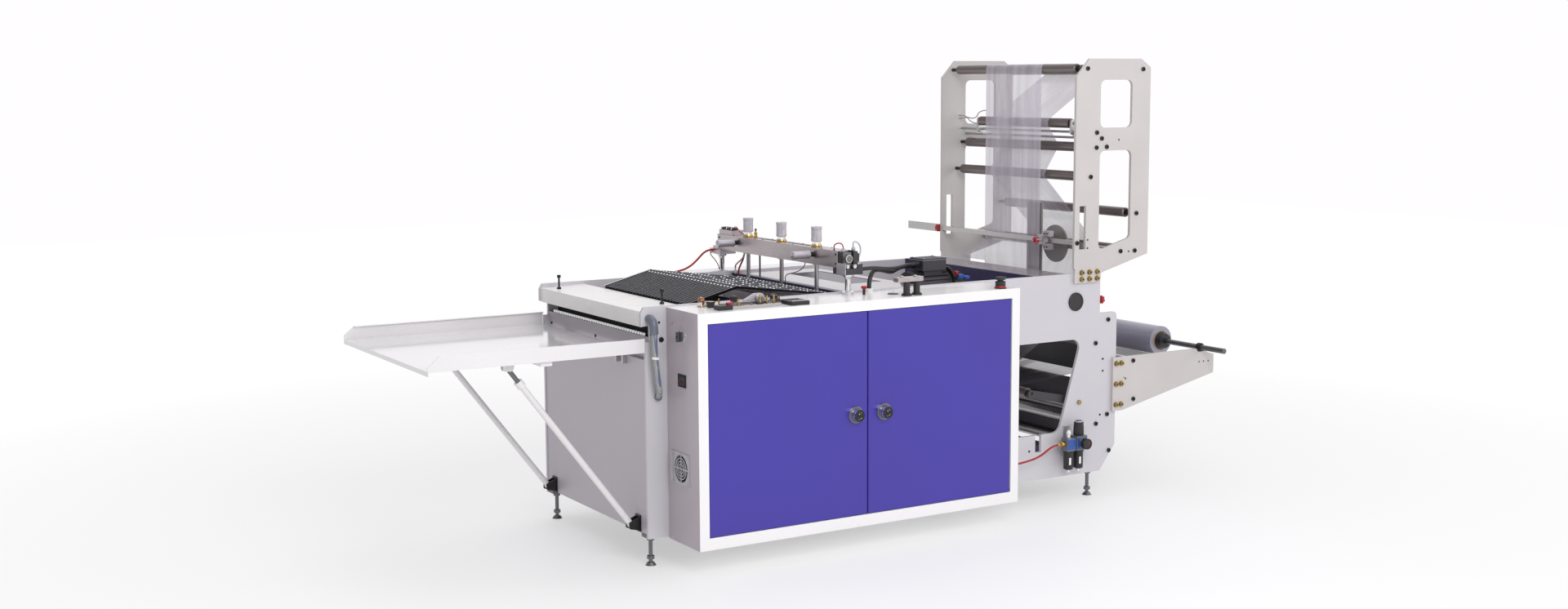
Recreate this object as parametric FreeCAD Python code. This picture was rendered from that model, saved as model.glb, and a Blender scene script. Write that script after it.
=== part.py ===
"""Bottom-seal bag making machine: unwind, web tower, sealing head, outfeed and tray.

Millimetres.  +X runs from the delivery tray to the unwind, +Y away from the door side,
+Z up.  The origin is on the floor at the centre of the machine's outer box.
"""
import FreeCAD, Part

import math
import os

V = FreeCAD.Vector

# ---- driving dimensions -------------------------------------------------------
HALF_LENGTH = 1690.0          # tray lip to arm end, half
HALF_DEPTH = 678.0            # door knob face to ruler end, half
PLATE_T = 12.0                # main, tower and arm plates
IN = 415.0                    # half width between the main plates
OUT = IN + PLATE_T
TOWER_OUT = OUT + PLATE_T     # tower plates and arms bolt on outside
FRAME_LEFT = -924.0
FRAME_RIGHT = 1168.0
PLATE_BOTTOM = 100.0
PLATE_TOP = 900.0
DECK_Z = 895.0                # top of the door cabinet
CAB_LEFT, CAB_RIGHT = -844.0, 499.0
CAB_FRONT = -650.0
CAB_BOTTOM = 95.0
SHEET = 3.0
DOOR_X0, DOOR_X1 = -807.0, 464.0
DOOR_Z0, DOOR_Z1 = 136.0, 859.0
DOOR_SPLIT = -170.0
DOOR_T = 18.0
KNOB_Z = 497.0
COVER_X0, COVER_BACK = -344.0, 580.0
HEAD_X = -130.0               # sealing head centre line
COLUMN_Y = 460.0
PRESS_Y = (-250.0, -2.0, 248.0)
ROLLER_R = 19.0
JOURNAL_R = 7.0
RUN = 0.05                    # radial clearance of a running fit
WEB_Y0, WEB_Y1 = -187.0, 170.0
WEB_T = 0.8                   # film stack thickness stand-in
WEB_GAP = 0.35
ROLL_X, ROLL_Z, ROLL_R = 1617.0, 556.0, 60.0
TRAY_HINGE = (-931.0, 735.0)
TRAY_FLOOR = 748.0
TRAY_TOP = 793.0
STRUT_LOW = (-950.0, 140.0)
STRUT_HIGH = (-1392.0, 724.0)
STRUT_Y = 350.0

# web roller centres (x, z), tower first, then the base
TOP_LEFT = (987.0, 1693.0)
TOP_RIGHT = (1271.0, 1690.0)
CENTRE = (1022.0, 1480.0)
UPPER = (1037.0, 1388.0)
MIDDLE = (1010.0, 1275.0)
LOWER = (1249.0, 1124.0)
BASE_EXIT = (1244.0, 976.0)
BASE_ENTRY = (1123.0, 707.0)
DANCER_PIVOT = (979.0, 388.0)
DANCER = (760.0, 440.0)
TURN_BAR = (948.2, 800.0)
UNDER_BAR = (232.0, 800.2)
NIP_BAR = (-20.0, 817.0)
ARM_BAR = (1248.0, 533.0)


def box(x0, x1, y0, y1, z0, z1):
    return Part.makeBox(x1 - x0, y1 - y0, z1 - z0, V(x0, y0, z0))


def rod(p, q, radius):
    start = V(*p)
    along = V(*q) - start
    return Part.makeCylinder(radius, along.Length, start, along)


def cone(p, q, r0, r1):
    start = V(*p)
    along = V(*q) - start
    return Part.makeCone(r0, r1, along.Length, start, along)


def along_y(centre, y0, y1, radius):
    return rod((centre[0], y0, centre[1]), (centre[0], y1, centre[1]), radius)


def hexagon(centre, y0, y1, across):
    """Hexagonal bar along Y, of the given width across flats."""
    r = across / math.sqrt(3)
    pts = [(centre[0] + r * math.cos(math.radians(60 * k)),
            centre[1] + r * math.sin(math.radians(60 * k))) for k in range(6)]
    return prism_y(pts, y0, y1)


def fuse(shapes):
    first, rest = shapes[0], shapes[1:]
    joined = first.fuse(rest) if rest else first
    return joined.removeSplitter()


def cut(shape, tools):
    return shape.cut(Part.makeCompound(tools))


def outline(points, place):
    """Closed wire through (a, b) or (a, b, corner radius) points, mapped by place."""
    count = len(points)
    edges = []
    trims = []
    for k, point in enumerate(points):
        corner = V(point[0], point[1], 0)
        before = V(points[k - 1][0], points[k - 1][1], 0) - corner
        after = V(points[(k + 1) % count][0], points[(k + 1) % count][1], 0) - corner
        before.normalize()
        after.normalize()
        radius = point[2] if len(point) > 2 else 0.0
        if radius:
            half = before.getAngle(after) / 2
            reach = radius / math.tan(half)
            middle = (before + after).normalize() * (radius / math.sin(half) - radius)
            trims.append((corner + before * reach, corner + middle, corner + after * reach))
        else:
            trims.append((corner, None, corner))
    for k, (start, middle, end) in enumerate(trims):
        if middle is not None:
            edges.append(Part.Arc(place(start), place(middle), place(end)).toShape())
        following = trims[(k + 1) % count][0]
        if (following - end).Length > 1e-6:
            edges.append(Part.makeLine(place(end), place(following)))
    return Part.Face(Part.Wire(edges))


def prism_y(points, y0, y1):
    face = outline(points, lambda p: V(p.x, y0, p.y))
    return face.extrude(V(0, y1 - y0, 0))


def prism_x(points, x0, x1):
    face = outline(points, lambda p: V(x0, p.x, p.y))
    return face.extrude(V(x1 - x0, 0, 0))


def prism_z(points, z0, z1):
    face = outline(points, lambda p: V(p.x, p.y, z0))
    return face.extrude(V(0, 0, z1 - z0))


def mirror_y(shape):
    return shape.mirror(V(0, 0, 0), V(0, 1, 0))


def both_sides(shape):
    return [shape, mirror_y(shape)]


def tube(name, points, radius):
    """Round tube along straight runs joined by tangent arcs."""
    pts = [V(*p) for p in points]
    edges = []
    length = 0.0
    last = pts[0]
    for k in range(1, len(pts) - 1):
        back = pts[k - 1] - pts[k]
        ahead = pts[k + 1] - pts[k]
        short = min(back.Length, ahead.Length)
        back.normalize()
        ahead.normalize()
        turn = math.pi - back.getAngle(ahead)
        bend = 0.45 * short / math.tan(turn / 2)
        reach = 0.45 * short
        middle = (back + ahead).normalize() * (bend / math.cos(turn / 2) - bend)
        start = pts[k] + back * reach
        end = pts[k] + ahead * reach
        edges.append(Part.makeLine(last, start))
        edges.append(Part.Arc(start, pts[k] + middle, end).toShape())
        length += (start - last).Length + bend * turn
        last = end
        print(f"{name}: bend radius {bend:.0f} mm = {bend / (2 * radius):.1f} diameters")
    edges.append(Part.makeLine(last, pts[-1]))
    length += (pts[-1] - last).Length
    path = Part.Wire(edges)
    ring = Part.Wire(Part.makeCircle(radius, pts[0], pts[1] - pts[0]))
    solid = path.makePipeShell([ring], True, True)
    expected = math.pi * radius ** 2 * length
    print(f"{name}: length {length:.0f} mm, volume ratio {solid.Volume / expected:.4f}")
    return solid


def save(node, shapes):
    shape = shapes[0] if len(shapes) == 1 else Part.makeCompound(shapes)
    shape.exportStep(f"parts/{node}.step")


# ---- plates and frame ----------------------------------------------------------

MAIN_OUTLINE = [
    (FRAME_LEFT, PLATE_BOTTOM), (1091, PLATE_BOTTOM), (FRAME_RIGHT, 200),
    (FRAME_RIGHT, 736, 18), (1080, 736), (1080, PLATE_TOP), (-928, PLATE_TOP, 8),
    (-940, 880, 8), (-940, 835), (-907, 835), (-907, 781), (FRAME_LEFT, 781),
]
WINDOW = [
    (560, 278, 30), (762, 278), (762, 210), (791, 210), (791, 278), (880, 278, 40),
    (989, 640, 34), (560, 640, 30),
]
TOWER_OUTLINE = [
    (934, 1661), (999, 1731), (1263, 1731), (1312, 1697), (1312, 961), (1072, 897),
    (1072, 862, 18), (939, 862), (939, 918), (934, 921),
]
TOWER_WINDOWS = [
    [(1056, 1649, 24), (1056, 1464, 24), (1218, 1464, 24), (1218, 1649, 24)],
    [(1056, 1375, 24), (1056, 985, 20), (1218, 1030, 20), (1218, 1375, 24)],
]
ARM_OUTLINE = [
    (1144, 552), (1144, 336), (1194, 336), (HALF_LENGTH, 446), (HALF_LENGTH, 524),
    (1652, 534), (1648, 546), (1640, 546), (1636, 538.2), (1598, 538.2), (1594, 552),
]
BASE_BARS = [(1060, 617), (1125, 326), (1068, 293), (1137, 178)]
TOWER_RODS = [(1038, 1446), (1063, 1423)]
TOWER_BARS = [(1089, 1390), (1170, 977)]
ARM_BARS = [ARM_BAR, (1252, 377)]
MAIN_JOURNALS = [BASE_ENTRY]
TOWER_JOURNALS = [TOP_LEFT, TOP_RIGHT, UPPER, MIDDLE, LOWER, BASE_EXIT]
FOOT_X = (-898.0, 1058.0)
FOOT_Y = 392.0
TOWER_BOLTS = [(x, z) for x in (973, 1012, 1051) for z in (877, 903)]
ARM_BOLTS = [(x, z) for x in (1160, 1186) for z in (362, 445, 528)]


def main_plate():
    """Front main plate with its window and bearing bores."""
    plate = prism_y(MAIN_OUTLINE, -OUT, -IN)
    holes = [prism_y(WINDOW, -OUT - 1, -IN + 1)]
    holes += [along_y(c, -OUT - 1, -IN + 1, JOURNAL_R + RUN)
              for c in MAIN_JOURNALS + [DANCER_PIVOT]]
    return cut(plate, holes)


def side_plates():
    front = main_plate()
    save("side_plate_rear", [mirror_y(front)])
    cable_holes = [along_y((-911, 861), -OUT - 1, -IN + 1, 12.5),
                   along_y((-881, 591), -OUT - 1, -IN + 1, 12.5)]
    save("side_plate_front", [cut(front, cable_holes)])


def tower_plate():
    plate = prism_y(TOWER_OUTLINE, -TOWER_OUT, -OUT)
    slot = [(958, 1163), (958, 994), (990, 994), (990, 1163)]
    holes = [prism_y(w, -TOWER_OUT - 1, -OUT + 1) for w in TOWER_WINDOWS + [slot]]
    holes += [along_y(c, -TOWER_OUT - 1, -OUT + 1, JOURNAL_R + RUN) for c in TOWER_JOURNALS]
    return cut(plate, holes)


def arm_plate():
    plate = prism_y(ARM_OUTLINE, -TOWER_OUT, -OUT)
    holes = [along_y((x, 497), -TOWER_OUT - 1, -OUT + 1, 3) for x in (1609, 1634, 1660)]
    holes.append(along_y((1202, 468), -TOWER_OUT - 1, -OUT + 1, 3))
    return cut(plate, holes)


def pair_of_plates():
    save("tower_plate_front", [tower_plate()])
    save("tower_plate_rear", [mirror_y(tower_plate())])
    save("unwind_arm_front", [arm_plate()])
    save("unwind_arm_rear", [mirror_y(arm_plate())])


def cross_members():
    """Dark painted members that hold the two main plates apart."""
    members = [
        box(-912, -858, -IN, IN, 118, 156),
        box(-230, -176, -IN, IN, 118, 156),
        box(420, 474, -IN, IN, 118, 156),
        box(1032, 1086, -IN, IN, 118, 156),
        box(-109, -81, -IN, IN, 864, 893),
        box(734, 749, -IN, IN, 800, 902),
        box(-600, -560, -IN, IN, 860, 900),
        box(-152, -108, -IN, IN, 778, 835),
    ]
    save("cross_members", members)


def tie_bars():
    """Plain steel bars and thin rods between plates, and the centre idler's hangers."""
    bars = []
    for centre in BASE_BARS + [TURN_BAR, UNDER_BAR, NIP_BAR]:
        bars.append(along_y(centre, -IN, IN, ROLLER_R))
    for centre in TOWER_BARS:
        bars.append(along_y(centre, -OUT, OUT, 13))
    for centre in TOWER_RODS:
        bars.append(along_y(centre, -OUT, OUT, 5))
    for centre in ARM_BARS:
        bars.append(along_y(centre, -OUT, OUT, 13))
    for y0, y1 in ((-321, -311), (276, 286)):
        hanger = prism_y([(1010, 1496, 10), (1010, 1440, 8), (1076, 1408, 8),
                          (1076, 1434, 8), (1040, 1496, 10)], y0, y1)
        holes = [along_y(CENTRE, y0 - 1, y1 + 1, JOURNAL_R + RUN)]
        holes += [along_y(c, y0 - 1, y1 + 1, 5) for c in TOWER_RODS]
        bars.append(cut(hanger, holes))
    save("tie_bars", bars)


def levelling_feet():
    """Studs through welded pads, with lock nuts and floor discs."""
    feet = []
    for x in FOOT_X:
        for y in (-FOOT_Y, FOOT_Y):
            stud = rod((x, y, 8), (x, y, 118), 7)
            disc = cone((x, y, 0), (x, y, 10), 19, 12)
            nut_low = Part.makeCylinder(13, 11, V(x, y, 22))
            nut_high = Part.makeCylinder(13, 12, V(x, y, 88))
            feet.append(fuse([stud, disc, nut_low, nut_high]))
            side = 1 if y > 0 else -1
            pad = box(x - 24, x + 24, min(y - side * 20, side * IN), max(y - side * 20, side * IN),
                      100, 112)
            feet.append(cut(pad, [Part.makeCylinder(7, 20, V(x, y, 96))]))
    save("levelling_feet", feet)


def fasteners():
    """Zinc cap screws of the tower and arms, and the black socket screws."""
    zinc = []
    for centre in TOWER_BOLTS + ARM_BOLTS:
        washer = along_y(centre, -TOWER_OUT - 2, -TOWER_OUT, 11)
        head = along_y(centre, -TOWER_OUT - 10, -TOWER_OUT - 2, 8)
        socket = hexagon(centre, -TOWER_OUT - 11, -TOWER_OUT - 5, 7)
        zinc += both_sides(fuse([washer, head]).cut(socket))
    zinc += both_sides(hexagon(DANCER_PIVOT, -OUT - 7, -OUT, 16))
    save("zinc_bolts", zinc)

    def socket_screw(centre, face, radius):
        head = along_y(centre, face - 5, face, radius)
        return head.cut(hexagon(centre, face - 6, face - 2, radius))
    black = []
    for centre in TOWER_JOURNALS + TOWER_RODS + TOWER_BARS + ARM_BARS:
        black += both_sides(socket_screw(centre, -TOWER_OUT, 8.5))
    black.append(socket_screw((946, 1020), -TOWER_OUT, 8.5))
    for centre in BASE_BARS + MAIN_JOURNALS + [(-865, 786)]:
        black += both_sides(socket_screw(centre, -OUT, 8.5))
    black.append(along_y((955, 789), -OUT - 4, -OUT, 36))
    for x, y, z in ((-894, 340, 885.5), (-789, -290, 888.2)):
        stud = rod((x, y, z), (x, y, z + 46), 3.5)
        nut = Part.makeCylinder(8, 6, V(x, y, z))
        head = Part.makeCylinder(7, 8, V(x, y, z + 42))
        black.append(fuse([stud, nut, head]))
    save("black_screws", black)


# ---- panels and covers -----------------------------------------------------------

def end_panel():
    """Sheet below the tray, and the ledge under the delivery slot."""
    lower = box(-921, -918, -IN, IN, 113, 718)
    ledge = prism_y([(-904, 722), (-901, 722), (-901, 792), (-872, 792), (-872, 795),
                     (-904, 795)], -IN, IN)
    save("end_panel", [lower, ledge])


def outfeed_hood():
    profile = [(-934, 832), (-931, 832), (-931, 880.5), (-759, 885.5), (-759, 872),
               (-756, 872), (-756, 888.5), (-934, 884)]
    save("outfeed_hood", [prism_y(profile, -IN, IN)])


def deck_plates():
    """White deck with its opening, and the glossy web table behind the motor."""
    deck = box(-81, 256, -IN, IN, 890, 893)
    opening = prism_z([(53, -180, 12), (211, -180, 12), (211, 260, 12), (53, 260, 12)], 880, 900)
    table = box(749, 920, -IN, IN, 896, 899)
    bed = box(322, 734, -IN, IN, 792, 798)
    save("deck_plates", [deck.cut(opening), table, bed])


def cabinet_shell():
    """Door cabinet: folded sheet box with a framed opening at the front."""
    back = -OUT
    outer = box(CAB_LEFT, CAB_RIGHT, CAB_FRONT, back, CAB_BOTTOM, DECK_Z)
    inner = box(CAB_LEFT + SHEET, CAB_RIGHT - SHEET, CAB_FRONT + SHEET, back - SHEET,
                CAB_BOTTOM + SHEET, DECK_Z - SHEET)
    lip_outer = box(DOOR_X0 - SHEET, DOOR_X1 + SHEET, CAB_FRONT + 1, CAB_FRONT + 24,
                    DOOR_Z0 - SHEET, DOOR_Z1 + SHEET)
    doorway = box(DOOR_X0, DOOR_X1, CAB_FRONT - 5, CAB_FRONT + 30, DOOR_Z0, DOOR_Z1)
    shell = fuse([outer.cut(inner), lip_outer]).cut(doorway)
    pins = []
    for x in (DOOR_X0 + 8, DOOR_X1 - 8):
        pins.append(rod((x, CAB_FRONT + 9, DOOR_Z0 - 10), (x, CAB_FRONT + 9, DOOR_Z1 + 10),
                        2.5 + RUN))
    fan = rod((CAB_LEFT - 5, -527, 356), (CAB_LEFT + 5, -527, 356), 47)
    rocker = box(CAB_LEFT - 5, CAB_LEFT + 5, -562, -514, 640, 676)
    selector = rod((CAB_LEFT - 5, -541, 808), (CAB_LEFT + 5, -541, 808), 8 + RUN)
    column = Part.makeCylinder(16, 20, V(HEAD_X, -COLUMN_Y, DECK_Z - 10))
    dial = Part.makeCylinder(5 + RUN, 20, V(-462, -500, DECK_Z - 10))
    cable = Part.makeCylinder(9, 20, V(-33, -450, DECK_Z - 10))
    shell = cut(shell, pins + [fan, rocker, selector, column, dial, cable])
    post = box(DOOR_SPLIT - 16, DOOR_SPLIT + 16, -624, -618, CAB_BOTTOM + SHEET, DECK_Z - SHEET)
    save("cabinet_shell", [shell, post])


def rear_cover():
    """Closed cover of the drive side, open towards the rear plate."""
    outer = box(COVER_X0, CAB_RIGHT, OUT, COVER_BACK, CAB_BOTTOM, DECK_Z)
    inner = box(COVER_X0 + SHEET, CAB_RIGHT - SHEET, OUT - 1, COVER_BACK - SHEET,
                CAB_BOTTOM + SHEET, DECK_Z - SHEET)
    opening = box(HEAD_X - 36, HEAD_X + 36, COLUMN_Y - 18, COLUMN_Y + 22, DECK_Z - 10, DECK_Z + 5)
    slots = [box(x, x + 60, COVER_BACK - 5, COVER_BACK + 5, 180 + 24 * k, 188 + 24 * k)
             for x in (-60, 120) for k in range(8)]
    save("rear_cover", [cut(outer, [inner, opening] + slots)])


def deck_fittings():
    """Control strip and small fixed items on the cabinet deck."""
    z = DECK_Z
    plate = box(-724, -504, -610, -575, z, z + 8)
    rail = box(-700, -480, -545, -537, z, z + 14)
    lever = prism_y([(-600, z), (-505, z), (-505, z + 14), (-520, z + 36, 8), (-548, z + 36, 8),
                     (-590, z + 16)], -520, -506)
    items = [plate, rail, lever]
    for x, y, r, h in ((-709, -482, 15, 14), (-723, -521, 13, 20), (-741, -487, 11, 16),
                       (-635, -523, 12, 26), (-577, -600, 3, 34), (-545, -592, 3, 28),
                       (-660, -600, 3, 24), (-522, -598, 3, 30)):
        base = z + 8 if y < -575 else z
        items.append(Part.makeCylinder(r, h, V(x, y, base)))
    items.append(box(-470, -398, -630, -556, z, z + 13))
    bush = Part.makeCylinder(22, 9, V(HEAD_X, -COLUMN_Y, z))
    items.append(bush.cut(Part.makeCylinder(11 + RUN, 30, V(HEAD_X, -COLUMN_Y, z - 5))))
    gland = Part.makeCylinder(14, 14, V(-33, -450, z))
    items.append(gland.cut(Part.makeCylinder(8, 30, V(-33, -450, z - 5))))
    for x, y in ((19, -611), (66, -606)):
        items.append(fuse([Part.makeCylinder(16, 8, V(x, y, z)),
                           Part.makeCylinder(12, 46, V(x, y, z + 4))]))
    items.append(box(-26, 84, -622, -594, z + 50, z + 66))
    items.append(fuse([Part.makeCylinder(5, 30, V(-93, -507, z)),
                       Part.makeCylinder(9, 10, V(-93, -507, z + 22))]))
    stop_base = Part.makeCylinder(19, 26, V(432, -619, z))
    items.append(stop_base.cut(Part.makeCylinder(11 + RUN, 30, V(432, -619, z + 12))))
    save("deck_fittings", items)


def motor():
    """Foot-mounted motor with fins, terminal box, end flange and belt guard."""
    x0, x1, y, z, r = 318.0, 470.0, -225.0, 872.0, 52.0
    body = rod((x0, y, z), (x1, y, z), r)
    fins = []
    for k in range(20):
        angle = math.radians(18 * k + 9)
        fin = box(x0 + 12, x1 - 12, y - 1.5, y + 1.5, z + r - 4, z + r + 8)
        fin.rotate(V(0, y, z), V(1, 0, 0), math.degrees(angle))
        fins.append(fin)
    flange = rod((x1, y, z), (x1 + 14, y, z), 68)
    cowl = rod((x0 - 26, y, z), (x0, y, z), 56)
    gear = rod((x1 + 14, y, z), (x1 + 60, y, z), 44)
    feet = [box(x0 + 20, x1 - 20, y - 62, y - 42, 798, z - 20),
            box(x0 + 20, x1 - 20, y + 42, y + 62, 798, z - 20)]
    neck = box(x0 + 30, x1 - 36, y - 32, y + 32, z + r - 10, 932)
    terminal = box(x0 + 18, x1 - 26, y - 44, y + 44, 932, 978)
    save("motor", [fuse([body, flange, cowl, gear] + fins + feet + [neck, terminal])])


# ---- doors ---------------------------------------------------------------------

def door(node, knob_node, x0, x1, pin_x, knob_x):
    """Pan door on two vertical pins, with its turning latch knob."""
    y0, y1 = CAB_FRONT + 2, CAB_FRONT + 2 + DOOR_T
    z0, z1 = DOOR_Z0 + 2, DOOR_Z1 - 2
    edge = [(x0, y0, 5), (x1, y0, 5), (x1, y1), (x0, y1)]
    pan = prism_z(edge, z0, z1)
    hollow = box(x0 + 2, x1 - 2, y0 + 2, y1 + 1, z0 + 2, z1 - 2)
    pan = pan.cut(hollow)
    pin_y = CAB_FRONT + 9
    pins = [rod((pin_x, pin_y, z0 - 7), (pin_x, pin_y, z0 + 12), 2.5),
            rod((pin_x, pin_y, z1 - 12), (pin_x, pin_y, z1 + 7), 2.5)]
    lugs = [box(pin_x - 5, pin_x + 5, y0 + 1, y0 + 12, z0 + 1, z0 + 12),
            box(pin_x - 5, pin_x + 5, y0 + 1, y0 + 12, z1 - 12, z1 - 1)]
    hole = along_y((knob_x, KNOB_Z), y0 - 5, y0 + 5, 7 + RUN)
    save(node, [fuse([pan] + pins + lugs).cut(hole)])

    flange = along_y((knob_x, KNOB_Z), y0 - 7, y0 - 0.5, 30)
    grip = along_y((knob_x, KNOB_Z), -HALF_DEPTH, y0 - 6, 21)
    dish = along_y((knob_x, KNOB_Z), -HALF_DEPTH - 1, -HALF_DEPTH + 4, 13)
    shaft = along_y((knob_x, KNOB_Z), y0 - 2, -610, 7)
    cam = prism_y([(knob_x - 9, KNOB_Z + 9, 6), (knob_x - 9, KNOB_Z - 56, 6),
                   (knob_x + 9, KNOB_Z - 56, 6), (knob_x + 9, KNOB_Z + 9, 6)], -614, -610)
    save(knob_node, [fuse([flange, grip, shaft, cam]).cut(dish)])


# ---- tray ------------------------------------------------------------------------

def tray():
    """Folded delivery tray with hemmed walls, an end lip, hinge and strut lugs."""
    x0, x1 = -HALF_LENGTH, -926.0
    floor = box(x0, x1, -OUT, OUT, TRAY_FLOOR - 3, TRAY_FLOOR)
    lip = box(x0, x0 + 3, -OUT, OUT, TRAY_FLOOR - 16, TRAY_FLOOR)
    wall = prism_y([(x0, TRAY_FLOOR - 3), (x1, TRAY_FLOOR - 3), (x1, TRAY_TOP),
                    (x0 + 38, TRAY_TOP), (x0, 762)], -OUT, -OUT + 3)
    hem = box(x0 + 38, x1, -OUT, -IN, TRAY_TOP - 3, TRAY_TOP)
    rib = box(-1300, -1260, -IN, IN, TRAY_FLOOR - 19, TRAY_FLOOR - 3)
    pieces = [floor, lip, rib]
    for shape in (wall, hem):
        pieces += both_sides(shape)
    for side in (-1, 1):
        y = side * 250.0
        knuckle = along_y(TRAY_HINGE, y - 20, y + 20, 8)
        leaf = box(-980, -931, y - 20, y + 20, TRAY_FLOOR - 10, TRAY_FLOOR - 2)
        pieces += [knuckle, leaf]
        for inner, outer in ((9, 13), (-13, -9)):
            y0 = side * STRUT_Y + inner
            pieces.append(prism_y([(-1412, TRAY_FLOOR - 3), (-1408, 714, 8), (-1376, 714, 8),
                                   (-1368, TRAY_FLOOR - 3)], y0, y0 + (outer - inner)))
        pieces.append(along_y(STRUT_HIGH, side * STRUT_Y - 14, side * STRUT_Y + 14, 4))
    body = fuse(pieces)
    bores = [along_y(TRAY_HINGE, side * 250 - 30, side * 250 + 30, 4 + RUN) for side in (-1, 1)]
    save("tray", [cut(body, bores)])


def struts():
    """Telescopic tray struts, their lower brackets and the tray hinge pins."""
    low, high = V(STRUT_LOW[0], 0, STRUT_LOW[1]), V(STRUT_HIGH[0], 0, STRUT_HIGH[1])
    along = high - low
    length = along.Length
    along.normalize()

    def at(distance, y):
        p = low + along * distance
        return (p.x, y, p.z)
    tubes, rods, fixed = [], [], []
    for side in (-1, 1):
        y = side * STRUT_Y
        outer = rod(at(14, y), at(length - 60, y), 11)
        eye = along_y(STRUT_LOW, y - 11, y + 11, 12)
        collet = rod(at(length - 84, y), at(length - 60, y), 15)
        bore = rod(at(length - 300, y), at(length, y), 8 + RUN)
        pivot = along_y(STRUT_LOW, y - 12, y + 12, 5 + RUN)
        tubes.append(fuse([outer, eye, collet]).cut(bore).cut(pivot))
        inner = rod(at(length - 200, y), at(length - 12, y), 8)
        top = along_y(STRUT_HIGH, y - 7, y + 7, 11)
        slack = along_y(STRUT_HIGH, y - 10, y + 10, 6.5)
        rods.append(fuse([inner, top]).cut(slack))
        cheeks = [prism_y([(-921, 118), (-921, 168), (-942, 160, 6), (-964, 150, 6),
                           (-964, 128, 6)], y + a, y + a + 4) for a in (-15.6, 11.6)]
        base = box(-925, -921, y - 20, y + 20, 114, 172)
        pin = along_y(STRUT_LOW, y - 18, y + 18, 5)
        fixed.append(fuse(cheeks + [base, pin]))
        hinge_y = side * 250.0
        lugs = [box(-938, -921, hinge_y + a, hinge_y + a + 8, 690, 734) for a in (-30, 22)]
        ends = [along_y(TRAY_HINGE, hinge_y + a, hinge_y + a + 8, 8) for a in (-30, 22)]
        pin = along_y(TRAY_HINGE, hinge_y - 32, hinge_y + 32, 4)
        fixed.append(fuse(lugs + ends + [pin]))
    save("strut_tubes", tubes)
    save("strut_rods", rods)
    save("strut_brackets", fixed)


# ---- sealing head ------------------------------------------------------------------

def sealing_head():
    beam = box(HEAD_X - 30, HEAD_X + 30, -440, 440, 989, 1049)
    core = box(HEAD_X - 25, HEAD_X + 25, -435, 435, 994, 1044)
    bushes = [Part.makeCylinder(15.5, 6, V(HEAD_X, y, 984)) for y in PRESS_Y]
    bores = [Part.makeCylinder(8 + RUN, 120, V(HEAD_X, y, 950)) for y in PRESS_Y]
    beam = cut(fuse([beam.cut(core)] + bushes), bores)
    pieces = [beam]
    for side in (-1, 1):
        shoe = box(HEAD_X - 34, HEAD_X + 38, min(side * 414, side * 498),
                   max(side * 414, side * 498), 968, 989)
        riser = box(HEAD_X - 30, HEAD_X + 34, min(side * 440, side * 478),
                    max(side * 440, side * 478), 989, 1000)
        socket = box(HEAD_X + 34, HEAD_X + 54.5, min(side * 450, side * 472),
                     max(side * 450, side * 472), 968, 1004)
        pieces.append(fuse([shoe, riser, socket]))
    valve_a = box(HEAD_X - 30, HEAD_X + 6, -474, -446, 1000, 1046)
    valve_b = box(HEAD_X + 12, HEAD_X + 34, -472, -448, 1000, 1048)
    gauge = along_y((HEAD_X - 12, 1024), -486, -474, 14)
    manifold = box(HEAD_X - 26, HEAD_X + 26, 330, 432, 1049, 1068)
    pieces += [valve_a, valve_b, gauge, manifold]
    fitting = fuse([Part.makeCylinder(6, 14, V(HEAD_X, 190, 1049)),
                    Part.makeCylinder(3, 30, V(HEAD_X, 190, 1049))])
    pieces.append(fitting)
    save("sealing_beam", pieces)

    columns = []
    for side in (-1, 1):
        y = side * COLUMN_Y
        shaft = Part.makeCylinder(11, 398, V(HEAD_X, y, 560))
        taper = cone((HEAD_X, y, 949), (HEAD_X, y, 960), 11, 16)
        nut = Part.makeCylinder(21, 8, V(HEAD_X, y, 960))
        columns.append(fuse([shaft, taper, nut]))
    save("guide_columns", columns)

    cylinders = []
    for y in PRESS_Y:
        base = Part.makeCylinder(20, 14, V(HEAD_X, y, 1049))
        neck = Part.makeCylinder(14, 6, V(HEAD_X, y, 1063))
        barrel = Part.makeCylinder(20, 54, V(HEAD_X, y, 1069))
        bore = Part.makeCylinder(8 + RUN, 40, V(HEAD_X, y, 1045))
        cylinders.append(fuse([base, neck, barrel]).cut(bore))
    for y in (-268, 290):
        barrel = rod((HEAD_X - 116, y, 1024), (HEAD_X - 44, y, 1024), 15)
        neck = rod((HEAD_X - 46, y, 1024), (HEAD_X - 30, y, 1024), 9)
        cylinders.append(fuse([barrel, neck]))
    save("press_cylinders", cylinders)

    bar = box(HEAD_X - 17, HEAD_X + 17, -400, 400, 868, 884)
    foot = box(HEAD_X - 9, HEAD_X + 9, -400, 400, 862, 868)
    rods = [Part.makeCylinder(8, 190, V(HEAD_X, y, 874)) for y in PRESS_Y]
    save("sealing_jaw", [fuse([bar, foot] + rods)])


def outfeed_belts():
    """Ribbed bed of narrow belts that rises to a crest and falls to the sealing head."""
    y0, y1 = -408.0, 244.0
    skin = prism_y([(-750, 888), (-554, 938), (-156, 887), (-156, 890), (-554, 941),
                    (-750, 891)], y0, y1)
    ribs = []
    pitch = 24.0
    count = int((y1 - y0) // pitch)
    for k in range(count):
        y = y0 + 6 + pitch * k
        ribs.append(prism_y([(-750, 890), (-554, 940), (-172, 891), (-172, 894),
                             (-554, 944), (-750, 894)], y, y + 15))
    strip = prism_y([(-750, 889), (-554, 939), (-554, 948), (-750, 898)], y1, y1 + 12)
    save("outfeed_belts", [fuse([skin] + ribs), strip])


# ---- web ---------------------------------------------------------------------------

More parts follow.
